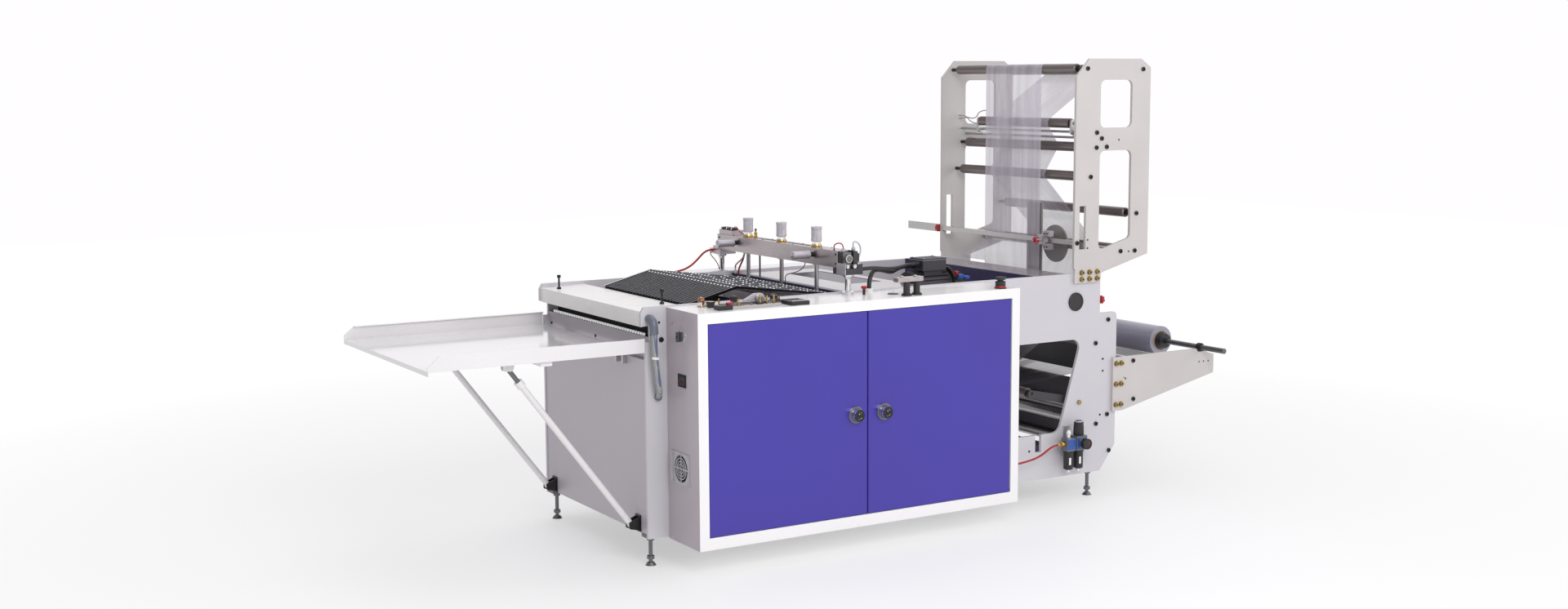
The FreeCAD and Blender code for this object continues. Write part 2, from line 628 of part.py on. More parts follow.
def roller(node, centre, half_body, journal_end):
    """Idler with chamfered ends and two journals that run in the plates."""
    body = along_y(centre, -half_body, half_body, ROLLER_R)
    body = body.makeChamfer(4, [e for e in body.Edges if e.Closed])
    journals = along_y(centre, -journal_end, journal_end, JOURNAL_R)
    save(node, [fuse([body, journals])])


def rollers():
    tower_half = 382.0
    tower_end = TOWER_OUT - 2
    roller("top_idler_left", TOP_LEFT, tower_half, tower_end)
    roller("top_idler_right", TOP_RIGHT, tower_half, tower_end)
    roller("tower_idler_upper", UPPER, tower_half, tower_end)
    roller("tower_idler_middle", MIDDLE, tower_half, tower_end)
    roller("tower_idler_lower", LOWER, tower_half, tower_end)
    roller("tower_idler_base", BASE_EXIT, tower_half, tower_end)
    roller("base_idler", BASE_ENTRY, 390.0, OUT - 2)
    centre_body = along_y(CENTRE, -305, 270, ROLLER_R)
    centre_journal = along_y(CENTRE, -319, 284, JOURNAL_R)
    save("centre_idler", [fuse([centre_body, centre_journal])])


def dancer():
    """Swinging arm pair on a cross shaft, with its roller."""
    shaft = along_y(DANCER_PIVOT, -OUT + 2, OUT - 2, JOURNAL_R)
    px, pz = DANCER_PIVOT
    dx, dz = DANCER
    pieces = [shaft]
    for y0, y1 in ((-404, -394), (394, 404)):
        link = prism_y([(px + 12, pz - 16, 12), (px + 12, pz + 16, 12), (dx - 16, dz + 16, 14),
                        (dx - 16, dz - 16, 14)], y0, y1)
        pieces.append(link.cut(along_y(DANCER, y0 - 1, y1 + 1, JOURNAL_R + RUN)))
    collars = [along_y(DANCER_PIVOT, y, y + 24, 16) for y in (-393, 369)]
    save("dancer_arm", [fuse(pieces + collars)])
    body = along_y(DANCER, -380, 380, ROLLER_R)
    journal = along_y(DANCER, -402, 402, JOURNAL_R)
    save("dancer_roller", [fuse([body, journal])])


def unwind():
    """Shaft resting on the arms' notches, chucks, core and film roll."""
    shaft = rod((ROLL_X, -572, ROLL_Z), (ROLL_X, 572, ROLL_Z), 11)
    chucks = []
    for inner, outer in ((-208, -232), (193, 217)):
        plug = cone((ROLL_X, inner, ROLL_Z), (ROLL_X, outer, ROLL_Z), 38, 30)
        chucks.append(plug)
    bearings = [along_y((ROLL_X, ROLL_Z), s * 433 - 8, s * 433 + 8, 17.5) for s in (-1, 1)]
    save("unwind_shaft", [fuse([shaft] + chucks + bearings)])
    roll = along_y((ROLL_X, ROLL_Z), -203, 188, ROLL_R)
    save("film_roll", [roll.cut(along_y((ROLL_X, ROLL_Z), -210, 200, 11.02))])


def tangent_path(stops):
    """Lines and arcs of a web that wraps each (x, z, radius, turn) stop in order.

    turn is +1 where the web turns anticlockwise about the stop, seen with X right and
    Z up, and -1 where it turns clockwise.  A stop of radius 0 is an end point.
    """
    touch = []
    for a, b in zip(stops, stops[1:]):
        dx, dz = b[0] - a[0], b[1] - a[1]
        gap = math.hypot(dx, dz)
        heading = math.atan2(dz, dx)
        offset = math.asin((b[2] * b[3] - a[2] * a[3]) / gap)
        direction = heading - offset
        left = direction + math.pi / 2
        touch.append([(s[0] - s[2] * s[3] * math.cos(left), s[1] - s[2] * s[3] * math.sin(left))
                      for s in (a, b)])
    return touch


def web_solid(stops, y0, y1):
    """Thin closed solid along a tangent path, of thickness WEB_T."""
    half = WEB_T / 2
    mids = [(x, z, r + WEB_GAP + half if r else 0.0, turn) for x, z, r, turn in stops]
    touch = tangent_path(mids)
    pieces = []
    for (ax, az), (bx, bz) in touch:
        run = math.hypot(bx - ax, bz - az)
        nx, nz = -(bz - az) / run * half, (bx - ax) / run * half
        pieces.append(prism_y([(ax + nx, az + nz), (bx + nx, bz + nz), (bx - nx, bz - nz),
                               (ax - nx, az - nz)], y0, y1))
    for k in range(1, len(mids) - 1):
        x, z, r, turn = mids[k]
        arrive, leave = touch[k - 1][1], touch[k][0]
        a0 = math.atan2(arrive[1] - z, arrive[0] - x)
        a1 = math.atan2(leave[1] - z, leave[0] - x)
        sweep = (a1 - a0) * turn % (2 * math.pi)
        if sweep < 1e-4 or sweep > 2 * math.pi - 1e-4:
            continue
        rim = []
        for radius in (r + half, r - half):
            rim.append([V(x + radius * math.cos(a0 + turn * sweep * f), y0,
                          z + radius * math.sin(a0 + turn * sweep * f)) for f in (0, 0.5, 1)])
        far, near = rim
        edges = [Part.Arc(*far).toShape(), Part.makeLine(far[2], near[2]),
                 Part.Arc(*near).toShape(), Part.makeLine(near[0], far[0])]
        pieces.append(Part.Face(Part.Wire(edges)).extrude(V(0, y1 - y0, 0)))
    return fuse(pieces)


def web_film():
    r = ROLLER_R
    lower = [(ROLL_X - 1.5, ROLL_Z - ROLL_R - 1.2, 0, 0), (*DANCER, r, -1),
             (*BASE_ENTRY, r, 1), (*BASE_EXIT, r, 1), (*MIDDLE, r, -1), (*UPPER, r, 1),
             (*CENTRE, r, -1), (*TOP_RIGHT, r, 1), (*TOP_LEFT, r, 1), (*TURN_BAR, r, -1),
             (*UNDER_BAR, r, -1), (*NIP_BAR, r, 1), (HEAD_X - 16, NIP_BAR[1] + 20, 0, 0)]
    save("web_film", [web_solid(lower, WEB_Y0, WEB_Y1)])


def web_guides():
    """Dark guide plate and disc beside the web, on a flat carrier bar."""
    plate = prism_x([(-185, 885), (-185, 1162), (-94, 1162, 10), (-94, 885, 10)], 978, 985)
    disc = rod((978, -270, 1005), (985, -270, 1005), 74)
    carrier = box(985, 993, -OUT, -94, 990, 1016)
    save("web_guide_plate", [fuse([plate, disc, carrier])])
    bar = box(936, 954, -OUT, OUT, 1012, 1030)
    ruler = box(936, 944, TOWER_OUT, HALF_DEPTH, 1004, 1036)
    save("ruler_bar", [bar, ruler])
    block = box(926, 962, -264, -224, 1002, 1042)
    heads = [box(924, 946, -300, -266, 984, 1006), box(924, 946, -300, -266, 1036, 1058),
             box(928, 942, -300, -266, 1006, 1008), box(928, 942, -268, -264, 990, 1052)]
    stem = rod((908, -244, 1021), (926, -244, 1021), 4)
    star = rod((896, -244, 1021), (908, -244, 1021), 15)
    passage = box(935.9, 954.1, -310, -200, 1011.9, 1030.1)
    save("edge_sensor", [fuse([block] + heads + [stem, star]).cut(passage)])


# ---- small moving parts and air unit -------------------------------------------------

def ring_x(x0, x1, y, z, outer, inner):
    return rod((x0, y, z), (x1, y, z), outer).cut(rod((x0 - 1, y, z), (x1 + 1, y, z), inner))


def fan():
    y, z = -527.0, 356.0
    x = CAB_LEFT
    frame = box(x - 4, x, y - 54, y + 54, z - 54, z + 54)
    frame = frame.cut(rod((x - 5, y, z), (x + 1, y, z), 47))
    rings = [ring_x(x - 4, x - 2, y, z, r + 1.6, r - 1.6) for r in (16, 26, 36)]
    spokes = [box(x - 4, x - 2, y - 48, y + 48, z - 2, z + 2),
              box(x - 4, x - 2, y - 2, y + 2, z - 48, z + 48)]
    strip = box(x - 8, x, y + 56, y + 66, z - 54, z + 54)
    casing = box(x + 3, x + 28, y - 54, y + 54, z - 54, z + 54)
    casing = casing.cut(rod((x, y, z), (x + 30, y, z), 50))
    spider = [box(x + 24, x + 28, y - 52, y + 52, z - 4, z + 4),
              rod((x + 24, y, z), (x + 28, y, z), 18)]
    save("fan_guard", [fuse([frame] + rings + spokes), strip, fuse([casing] + spider)])
    blades = []
    for k in range(7):
        blade = box(x + 10, x + 11.6, y - 46, y - 14, z - 10, z + 10)
        blade.rotate(V(x + 11, y - 30, z), V(0, 1, 0), 32)
        blade.rotate(V(x, y, z), V(1, 0, 0), k * 360 / 7)
        blades.append(blade)
    hub = rod((x + 5, y, z), (x + 22, y, z), 18)
    save("fan_rotor", [fuse([hub] + blades)])


def switches():
    x = CAB_LEFT
    rocker = prism_y([(x - 4, 642), (x + 1.5, 642), (x + 5, 658), (x + 1.5, 674), (x - 4, 674),
                      (x - 1, 658)], -558, -518)
    save("power_rocker", [rocker])
    knob = rod((x - 22, -541, 808), (x - 0.5, -541, 808), 17)
    notch = box(x - 24, x - 12, -561, -546, 780, 836)
    notch2 = box(x - 24, x - 12, -536, -521, 780, 836)
    stem = rod((x - 2, -541, 808), (x + 14, -541, 808), 8)
    save("end_selector", [fuse([cut(knob, [notch, notch2]), stem])])
    cap = Part.makeCylinder(19, 10, V(432, -619, DECK_Z + 32))
    stem = Part.makeCylinder(11, 20, V(432, -619, DECK_Z + 18))
    save("stop_button", [fuse([cap, stem])])
    dial = Part.makeCylinder(14, 22, V(-462, -500, DECK_Z + 0.5))
    dial = dial.makeChamfer(1.5, [e for e in dial.Edges if e.Closed])
    stem = Part.makeCylinder(5, 14, V(-462, -500, DECK_Z - 11))
    save("speed_dial", [fuse([dial, stem])])


def air_unit():
    """Filter, regulator and lubricator on the front plate, with gauge and bracket."""
    y = -472.0
    bodies = [box(872, 912, y - 20, y + 20, 212, 262), box(916, 968, y - 22, y + 22, 212, 268),
              box(912, 916, y - 12, y + 12, 222, 252)]
    ports = [rod((852, y, 240), (872, y, 240), 11), rod((968, y, 240), (984, y, 240), 12)]
    bowls = [Part.makeCylinder(19, 72, V(892, y, 140)), Part.makeCylinder(19, 72, V(942, y, 140))]
    drains = [Part.makeCylinder(5, 12, V(892, y, 128)), Part.makeCylinder(5, 12, V(942, y, 128))]
    dome = Part.makeCylinder(9, 16, V(892, y, 262))
    bracket = [box(900, 950, -OUT - 3, -OUT, 180, 300), box(918, 932, -452, -OUT - 2, 226, 256)]
    gauge = [rod((946, y - 22, 240), (946, y - 34, 240), 6),
             rod((946, y - 34, 240), (946, y - 50, 240), 21)]
    unit = fuse(bodies + ports + bowls + drains + [dome] + bracket + gauge)
    unit = unit.cut(rod((972, y, 240), (990, y, 240), 5.75))
    neck = Part.makeCylinder(8 + RUN, 20, V(942, y, 262))
    save("air_unit", [unit.cut(neck)])
    knob = Part.makeCylinder(19, 52, V(942, y, 268.5))
    top = Part.makeCylinder(14, 6, V(942, y, 320))
    stem = Part.makeCylinder(8, 8, V(942, y, 263))
    save("regulator_knob", [fuse([knob, top, stem])])


def cords():
    """Hoses and cables, each on its own route."""
    conduit = [(-911, -427, 861), (-911, -446, 860), (-910, -461, 846), (-909, -463, 825),
               (-908, -462, 790), (-905, -460, 745), (-901, -461, 698), (-896, -462, 652),
               (-890, -459, 616), (-885, -446, 596), (-881, -427, 590)]
    save("signal_conduit", [tube("signal_conduit", conduit, 10.5)])
    supply = [(852, -472, 240), (826, -472, 240), (795, -473, 230), (762, -475, 212),
              (725, -477, 200), (680, -478, 193), (635, -478, 189), (592, -478, 187),
              (548, -476, 190), (499, -476, 190)]
    save("air_supply_hose", [tube("air_supply_hose", supply, 4)])
    head = [(-74.5, -462, 982), (-40, -458, 983), (0, -447, 980), (44, -428, 974),
            (92, -400, 968), (144, -364, 964), (198, -322, 962), (246, -278, 960),
            (290, -246, 958), (335.8, -246, 958)]
    save("head_cable", [tube("head_cable", head, 7)])
    deck = [(-33, -450, 895), (-33, -450, 925), (-26, -446, 946), (-12, -437, 962),
            (8, -424, 970), (42, -402, 968), (84, -373, 959), (128, -338, 949),
            (172, -297, 942), (214, -252, 940), (254, -218, 943), (294, -204, 948),
            (335.8, -204, 948)]
    save("deck_cable", [tube("deck_cable", deck, 8)])
    hose = [(HEAD_X - 34.3, 459, 985), (-192, 459, 985), (-219, 458, 971), (-244, 456, 948),
            (-272, 452, 928), (-304, 449, 914), (-336, 450, 908.0), (-366, 456, 901)]
    save("head_air_hose", [tube("head_air_hose", hose, 4)])


def main():
    os.makedirs("parts", exist_ok=True)
    side_plates()
    pair_of_plates()
    cross_members()
    tie_bars()
    levelling_feet()
    fasteners()
    end_panel()
    outfeed_hood()
    deck_plates()
    cabinet_shell()
    rear_cover()
    deck_fittings()
    motor()
    door("door_left", "door_knob_left", DOOR_X0 + 2, DOOR_SPLIT - 1.5, DOOR_X0 + 8, -224.0)
    door("door_right", "door_knob_right", DOOR_SPLIT + 1.5, DOOR_X1 - 2, DOOR_X1 - 8, -105.0)
    tray()
    struts()
    sealing_head()
    outfeed_belts()
    rollers()
    dancer()
    unwind()
    web_film()
    web_guides()
    fan()
    switches()
    air_unit()
    cords()


main()
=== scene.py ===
"""Looks of the film bag making machine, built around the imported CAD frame.

Metres, in the CAD frame: +X from the delivery tray to the film roll, +Y away from the
door side, +Z up, the floor at zero.
"""

import math
import random

import bmesh
import bpy
from mathutils import Matrix, Vector


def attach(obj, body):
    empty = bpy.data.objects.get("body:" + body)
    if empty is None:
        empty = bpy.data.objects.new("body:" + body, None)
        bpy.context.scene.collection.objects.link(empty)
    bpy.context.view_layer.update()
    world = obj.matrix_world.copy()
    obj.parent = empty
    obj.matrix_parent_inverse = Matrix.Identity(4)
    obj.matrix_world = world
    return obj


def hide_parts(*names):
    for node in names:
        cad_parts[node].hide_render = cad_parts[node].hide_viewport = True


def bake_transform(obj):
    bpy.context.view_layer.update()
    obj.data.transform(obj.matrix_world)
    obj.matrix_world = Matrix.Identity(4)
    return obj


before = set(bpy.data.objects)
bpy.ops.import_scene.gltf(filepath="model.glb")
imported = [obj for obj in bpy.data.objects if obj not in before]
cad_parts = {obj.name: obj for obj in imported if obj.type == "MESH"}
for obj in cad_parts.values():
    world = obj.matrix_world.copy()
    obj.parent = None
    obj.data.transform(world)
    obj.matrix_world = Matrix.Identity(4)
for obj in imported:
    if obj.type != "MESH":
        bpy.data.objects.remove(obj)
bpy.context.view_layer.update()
scene = bpy.context.scene


# ---- camera and light ----------------------------------------------------------

def put(node, values):
    """Sets a shader node's inputs, by name or number."""
    for key, value in values.items():
        node.inputs[key].default_value = value


def make_camera():
    """Door side from the delivery end, at standing height."""
    yaw, pitch, roll = 0.545, -0.126, -0.005
    ahead = Vector((math.sin(yaw) * math.cos(pitch), math.cos(yaw) * math.cos(pitch), math.sin(pitch)))
    level = Vector((math.cos(yaw), -math.sin(yaw), 0))
    top = level.cross(ahead)
    right = level * math.cos(roll) + top * math.sin(roll)
    up = top * math.cos(roll) - level * math.sin(roll)
    data = bpy.data.cameras.new("camera")
    data.lens = 40.92
    data.sensor_width = 36
    data.sensor_fit = "HORIZONTAL"
    data.clip_end = 100
    camera = bpy.data.objects.new("camera", data)
    turn = Matrix((right, up, -ahead)).transposed()
    camera.matrix_world = Matrix.Translation((-3.6021, -5.7457, 1.6593)) @ turn.to_4x4()
    scene.collection.objects.link(camera)
    scene.camera = camera


def area_light(name, place, target, size, power):
    data = bpy.data.lights.new(name, "AREA")
    data.shape = "RECTANGLE"
    data.size, data.size_y = size
    data.energy = power
    lamp = bpy.data.objects.new(name, data)
    aim = (Vector(target) - Vector(place)).to_track_quat("-Z", "Y")
    lamp.matrix_world = Matrix.Translation(place) @ aim.to_matrix().to_4x4()
    scene.collection.objects.link(lamp)


def make_light():
    """Soft tent, full white over the roll end and dimmer towards the delivery end, and lamps."""
    world = bpy.data.worlds.new("studio")
    world.use_nodes = True
    tree = world.node_tree
    place = tree.nodes.new("ShaderNodeTexCoord")
    lean = tree.nodes.new("ShaderNodeVectorMath")
    lean.operation = "DOT_PRODUCT"
    put(lean, {1: (0.46, 0.05, -0.08)})
    centre = tree.nodes.new("ShaderNodeMath")
    put(centre, {1: 0.5})
    stops = [(0.0, 0.46), (0.25, 0.5), (0.44, 0.7), (0.56, 1.0), (1.0, 1.0)]
    ramp = add_ramp(world, centre, [(where, (level, level * 0.985, level * 1.01))
        for where, level in stops])
    tree.links.new(place.outputs["Generated"], lean.inputs[0])
    tree.links.new(lean.outputs["Value"], centre.inputs[0])
    tree.links.new(ramp.outputs["Color"], tree.nodes["Background"].inputs["Color"])
    scene.world = world
    scene.view_settings.view_transform = "Standard"
    area_light("key", (-1.2, -4.6, 3.2), (0, -0.2, 0.6), (2.6, 1.8), 105)
    area_light("top", (-0.6, 0.2, 4.4), (-0.4, 0, 0.8), (3.6, 2.0), 22)
    area_light("side", (4.6, -3.4, 2.4), (0.8, -0.2, 0.8), (1.8, 1.6), 22)


# ---- materials -------------------------------------------------------------------

def principled(name, colour, metallic, roughness):
    mat = bpy.data.materials.new(name)
    mat.use_nodes = True
    node = mat.node_tree.nodes["Principled BSDF"]
    put(node, {"Base Color": (*colour, 1), "Metallic": metallic, "Roughness": roughness})
    return mat, node


def add_noise(mat, scale, detail, stretch):
    tree = mat.node_tree
    place = tree.nodes.new("ShaderNodeTexCoord")
    mapping = tree.nodes.new("ShaderNodeMapping")
    put(mapping, {"Scale": stretch})
    noise = tree.nodes.new("ShaderNodeTexNoise")
    put(noise, {"Scale": scale, "Detail": detail})
    tree.links.new(place.outputs["Object"], mapping.inputs["Vector"])
    tree.links.new(mapping.outputs["Vector"], noise.inputs["Vector"])
    return noise


def add_ramp(mat, source, stops):
    """Colour ramp of a material or world, fed by another of its nodes."""
    ramp = mat.node_tree.nodes.new("ShaderNodeValToRGB")
    while len(ramp.color_ramp.elements) < len(stops):
        ramp.color_ramp.elements.new(0.5)
    for element, (where, colour) in zip(ramp.color_ramp.elements, stops):
        element.position = where
        element.color = (*colour, 1)
    mat.node_tree.links.new(source.outputs[0], ramp.inputs["Fac"])
    return ramp


def add_bump(mat, node, source, strength, distance=0.0006):
    bump = mat.node_tree.nodes.new("ShaderNodeBump")
    put(bump, {"Strength": strength, "Distance": distance})
    mat.node_tree.links.new(source.outputs[0], bump.inputs["Height"])
    mat.node_tree.links.new(bump.outputs["Normal"], node.inputs["Normal"])


def shade(colour, factor):
    return tuple(min(1.0, c * factor) for c in colour)


def surface(name, colour, metallic=0.0, rough=(0.3, 0.4), vary=0.05, scale=6.0, bump=0.08,
        bump_scale=260, stretch=(1, 1, 1), coat=0.0):
    """Procedural surface: patchy colour, patchy gloss and a fine bump."""
    mat, node = principled(name, colour, metallic, rough[0])
    patches = add_noise(mat, scale, 5.0, stretch)
    tint = add_ramp(mat, patches, [(0.32, shade(colour, 1 - vary)), (0.7, shade(colour, 1 + vary))])
    mat.node_tree.links.new(tint.outputs["Color"], node.inputs["Base Color"])
    gloss = add_ramp(mat, patches, [(0.3, (rough[0],) * 3), (0.72, (rough[1],) * 3)])
    mat.node_tree.links.new(gloss.outputs["Color"], node.inputs["Roughness"])
    grain = add_noise(mat, bump_scale, 2.0, stretch)
    add_bump(mat, node, grain, bump)
    put(node, {"Coat Weight": coat, "Coat Roughness": 0.08})
    return mat


M = {}

# the arguments of surface(), in its order
SURFACES = {
    "cream": ("cream_powder_coat", (0.8, 0.79, 0.79), 0.0, (0.27, 0.3), 0.01, 6.0, 0.03,
        260, (1, 1, 1), 0.15),
    "cream_side": ("cream_plate_paint", (0.545, 0.53, 0.565), 0.0, (0.34, 0.38), 0.012, 6.0, 0.04),
    # end panel painted darker than the plate paint, as painted shade for the end that faces away from
    # the light
    "panel": ("panel_paint", (0.46, 0.42, 0.47), 0.0, (0.33, 0.37), 0.012, 6.0, 0.04),
    # cabinet end face: the cream coat painted darker, as painted shade for the end that faces away from
    # the light
    "cab_end_shade": ("cabinet_side_paint", (0.43, 0.38, 0.415), 0.0, (0.3, 0.33), 0.012, 6.0, 0.04,
        260, (1, 1, 1), 0.2),
    "tower": ("grey_white_paint", (0.535, 0.503, 0.497), 0.0, (0.34, 0.46), 0.03, 6.0, 0.06),
    # deck and hood: white enamel painted grey, as painted shade for their dim look
    "gloss": ("white_enamel", (0.34, 0.313, 0.337), 0.0, (0.1, 0.18), 0.02, 3.0, 0.02,
        260, (1, 1, 1), 0.15),
    "tray": ("tray_paint", (0.74, 0.725, 0.735), 0.0, (0.09, 0.16), 0.02, 3.0, 0.02,
        260, (1, 1, 1), 0.6),
    "violet": ("violet_powder_coat", (0.04, 0.0255, 0.312), 0.0, (0.3, 0.4), 0.05, 2.0, 0.1,
        420, (1, 1, 1), 0.15),
    "purple": ("dark_purple_paint", (0.022, 0.015, 0.072), 0.0, (0.28, 0.42), 0.12),
    "steel": ("turned_steel", (0.52, 0.505, 0.5), 1.0, (0.27, 0.34), 0.04, 8.0, 0.05, 300, (1, 8, 1)),
    "dull_steel": ("dull_steel", (0.22, 0.21, 0.205), 0.7, (0.42, 0.55), 0.12, 10.0, 0.12, 260),
    "guide_plate": ("guide_plate", (0.235, 0.22, 0.215), 0.3, (0.4, 0.52), 0.08, 14.0, 0.12, 260),
    # near-black paint of the sheets across the base's open end: painted shade
    "guard": ("guard_paint", (0.04, 0.034, 0.048), 0.0, (0.3, 0.42), 0.08, 4.0),
    # slot pins, given a faint glow in make_materials(): painted light
    "pin": ("slot_pin", (0.86, 0.85, 0.84), 0.0, (0.26, 0.36), 0.02),
    "dark_steel": ("blued_steel", (0.16, 0.16, 0.17), 0.9, (0.28, 0.42), 0.12, 12.0, 0.1, 300),
    "fan": ("fan_grille", (0.46, 0.45, 0.47), 0.2, (0.3, 0.42), 0.05, 30.0),
    "beam": ("brushed_aluminium", (0.5, 0.45, 0.46), 1.0, (0.24, 0.42), 0.1, 9.0, 0.16,
        220, (12, 1, 12)),
    "anodised": ("anodised_roller", (0.2, 0.17, 0.165), 0.85, (0.3, 0.4), 0.06, 5.0, 0.06,
        300, (6, 1, 6)),
    "cast": ("cast_grey", (0.066, 0.062, 0.07), 0.55, (0.42, 0.58), 0.1, 30.0, 0.3, 160),
    "light_cast": ("cast_light", (0.58, 0.555, 0.6), 0.85, (0.34, 0.5), 0.08, 40.0, 0.2, 200),
    "chrome": ("chrome", (0.78, 0.78, 0.79), 1.0, (0.05, 0.12), 0.03, 12.0, 0.02),
    "rivet": ("rivet_steel", (0.86, 0.86, 0.88), 0.75, (0.2, 0.3), 0.04, 12.0),
    "zinc": ("yellow_zinc", (0.36, 0.27, 0.12), 1.0, (0.26, 0.4), 0.16, 40.0, 0.08),
    "brass": ("brass", (0.56, 0.37, 0.13), 1.0, (0.18, 0.34), 0.14, 50.0, 0.06),
    "oxide": ("black_oxide", (0.022, 0.021, 0.022), 0.4, (0.32, 0.46), 0.2, 50.0, 0.1),
    "black": ("black_plastic", (0.018, 0.018, 0.02), 0.0, (0.34, 0.48), 0.2, 60.0, 0.2),
    "rubber": ("cable_jacket", (0.016, 0.016, 0.018), 0.0, (0.4, 0.52), 0.15, 50.0, 0.15),
    # near black with little specular: the belts' own dark fabric, and painted shade in the gaps between
    # them
    "belt": ("belt_fabric", (0.004, 0.004, 0.0052), 0.0, (0.34, 0.5), 0.16, 26.0, 0.35,
        900, (1, 3, 1)),
    "belt_top": ("belt_strip", (0.02, 0.02, 0.0235), 0.0, (0.3, 0.46), 0.16, 26.0, 0.3,
        900, (1, 3, 1)),
    # light lines along the belt edges: painted highlights
    "belt_edge_highlight": ("belt_worn_edge", (0.15, 0.155, 0.17), 0.3, (0.28, 0.4), 0.2, 40.0),
    "red": ("red_plastic", (0.4, 0.01, 0.012), 0.0, (0.22, 0.32), 0.08, 60.0, 0.05),
    "red_hose": ("red_hose", (0.36, 0.012, 0.016), 0.0, (0.22, 0.32), 0.08, 60.0, 0.05),
    "tube": ("clear_tube", (0.52, 0.51, 0.56), 0.0, (0.12, 0.2), 0.06, 40.0, 0.08, 260, (1, 1, 1), 0.6),
    "white_plastic": ("white_plastic", (0.8, 0.79, 0.77), 0.0, (0.26, 0.36), 0.04),
    "grey_plastic": ("grey_plastic", (0.17, 0.18, 0.2), 0.0, (0.36, 0.46), 0.08, 50.0),
    "slate": ("slate_plastic", (0.13, 0.145, 0.185), 0.0, (0.3, 0.42), 0.08, 50.0),
    "blue": ("blue_plastic", (0.02, 0.085, 0.36), 0.0, (0.26, 0.36), 0.06, 60.0),
    "amber": ("amber_lens", (0.24, 0.065, 0.006), 0.0, (0.08, 0.14), 0.1, 60.0, 0.08,
        260, (1, 1, 1), 0.8),
    "board": ("core_board", (0.42, 0.29, 0.17), 0.0, (0.7, 0.85), 0.1, 60.0, 0.2),
    # near-black look for slots, holes, vents and grille openings: painted shade
    "dark": ("dark_gap", (0.008, 0.008, 0.009), 0.0, (0.6, 0.8), 0.1),
    "pale": ("pale_violet_cap", (0.5, 0.47, 0.66), 0.0, (0.26, 0.36), 0.05),
}


def make_materials():
    for look, values in SURFACES.items():
        M[look] = surface(*values)
    # a faint white glow on the slot pins: painted light that keeps them bright in the hood's shadow
    pin_glow = M["pin"].node_tree.nodes["Principled BSDF"]
    put(pin_glow, {"Emission Color": (1, 1, 1, 1), "Emission Strength": 0.28})
    for key, level in (("belt", 0.06), ("belt_top", 0.18), ("gloss", 0.3)):
        M[key].node_tree.nodes["Principled BSDF"].inputs["Specular IOR Level"].default_value = level
    M["roll"] = roll_material()
    M["film"] = film_material("thin_film", (0.44, 0.4, 0.47), (0.66, 0.61, 0.7), 0.6)
    # film in the base painted nearly black: painted shade for the dark inside of the base
    M["film_shade"] = film_material("film_painted_shade_in_base", (0.075, 0.064, 0.085), (0.14, 0.12, 0.155), 0.82)
    shaded = M["film_shade"].node_tree.nodes["Principled BSDF"]
    put(shaded, {"Coat Weight": 0.05, "Specular IOR Level": 0.2})
    M["conduit"] = conduit_material()


def roll_material():
    """Wound film seen on edge and on its face: fine rings about the roll's axis."""
    colour = (0.34, 0.33, 0.42)
    mat, node = principled("wound_film", colour, 0.0, 0.3)
    place = mat.node_tree.nodes.new("ShaderNodeTexCoord")
    shift = mat.node_tree.nodes.new("ShaderNodeMapping")
    put(shift, {"Location": (-1.617, 0, -0.556)})
    rings = mat.node_tree.nodes.new("ShaderNodeTexWave")
    rings.wave_type = "RINGS"
    rings.rings_direction = "Y"
    put(rings, {"Scale": 90, "Distortion": 0.6})
    mat.node_tree.links.new(place.outputs["Object"], shift.inputs["Vector"])
    mat.node_tree.links.new(shift.outputs["Vector"], rings.inputs["Vector"])
    tint = add_ramp(mat, rings, [(0.2, shade(colour, 0.82)), (0.8, shade(colour, 1.06))])
    mat.node_tree.links.new(tint.outputs["Color"], node.inputs["Base Color"])
    add_bump(mat, node, rings, 0.12, 0.0004)
    put(node, {"Coat Weight": 0.5, "Coat Roughness": 0.12})
    return mat


def film_material(name, low, high, alpha):
    mat, node = principled(name, high, 0.0, 0.18)
    put(node, {"Alpha": alpha})
    wrinkles = add_noise(mat, 5.0, 4.0, (1, 5, 0.6))
    tint = add_ramp(mat, wrinkles, [(0.35, low), (0.65, high)])
    mat.node_tree.links.new(tint.outputs["Color"], node.inputs["Base Color"])
    add_bump(mat, node, wrinkles, 0.45, 0.004)
    put(node, {"Coat Weight": 0.6, "Coat Roughness": 0.06})
    return mat


def conduit_material():
    """Clear corrugated sleeve over blue and green wires."""
    mat, node = principled("corrugated_sleeve", (0.5, 0.51, 0.49), 0.0, 0.22)
    tree = mat.node_tree
    place = tree.nodes.new("ShaderNodeTexCoord")
    ribs = tree.nodes.new("ShaderNodeTexWave")
    ribs.bands_direction = "Z"
    put(ribs, {"Scale": 95})
    wires = tree.nodes.new("ShaderNodeTexWave")
    wires.bands_direction = "Y"
    put(wires, {"Scale": 38, "Distortion": 1.4, "Detail Scale": 0.4})
    for node_in in (ribs, wires):
        tree.links.new(place.outputs["Object"], node_in.inputs["Vector"])
    tint = add_ramp(mat, wires, [(0.05, (0.1, 0.13, 0.26)), (0.2, (0.36, 0.36, 0.34)),
        (0.9, (0.3, 0.31, 0.28))])
    tree.links.new(tint.outputs["Color"], node.inputs["Base Color"])
    add_bump(mat, node, ribs, 0.6, 0.0012)
    put(node, {"Coat Weight": 0.5})
    return mat


# ---- mesh helpers ------------------------------------------------------------------

UP, FRONT, REAR, OUTFEED, INFEED = (0, 0, 1), (0, -1, 0), (0, 1, 0), (-1, 0, 0), (1, 0, 0)


def mesh_object(name, bm, look):
    data = bpy.data.meshes.new(name)
    bm.to_mesh(data)
    bm.free()
    data.materials.append(M[look])
    obj = bpy.data.objects.new(name, data)
    scene.collection.objects.link(obj)
    return obj


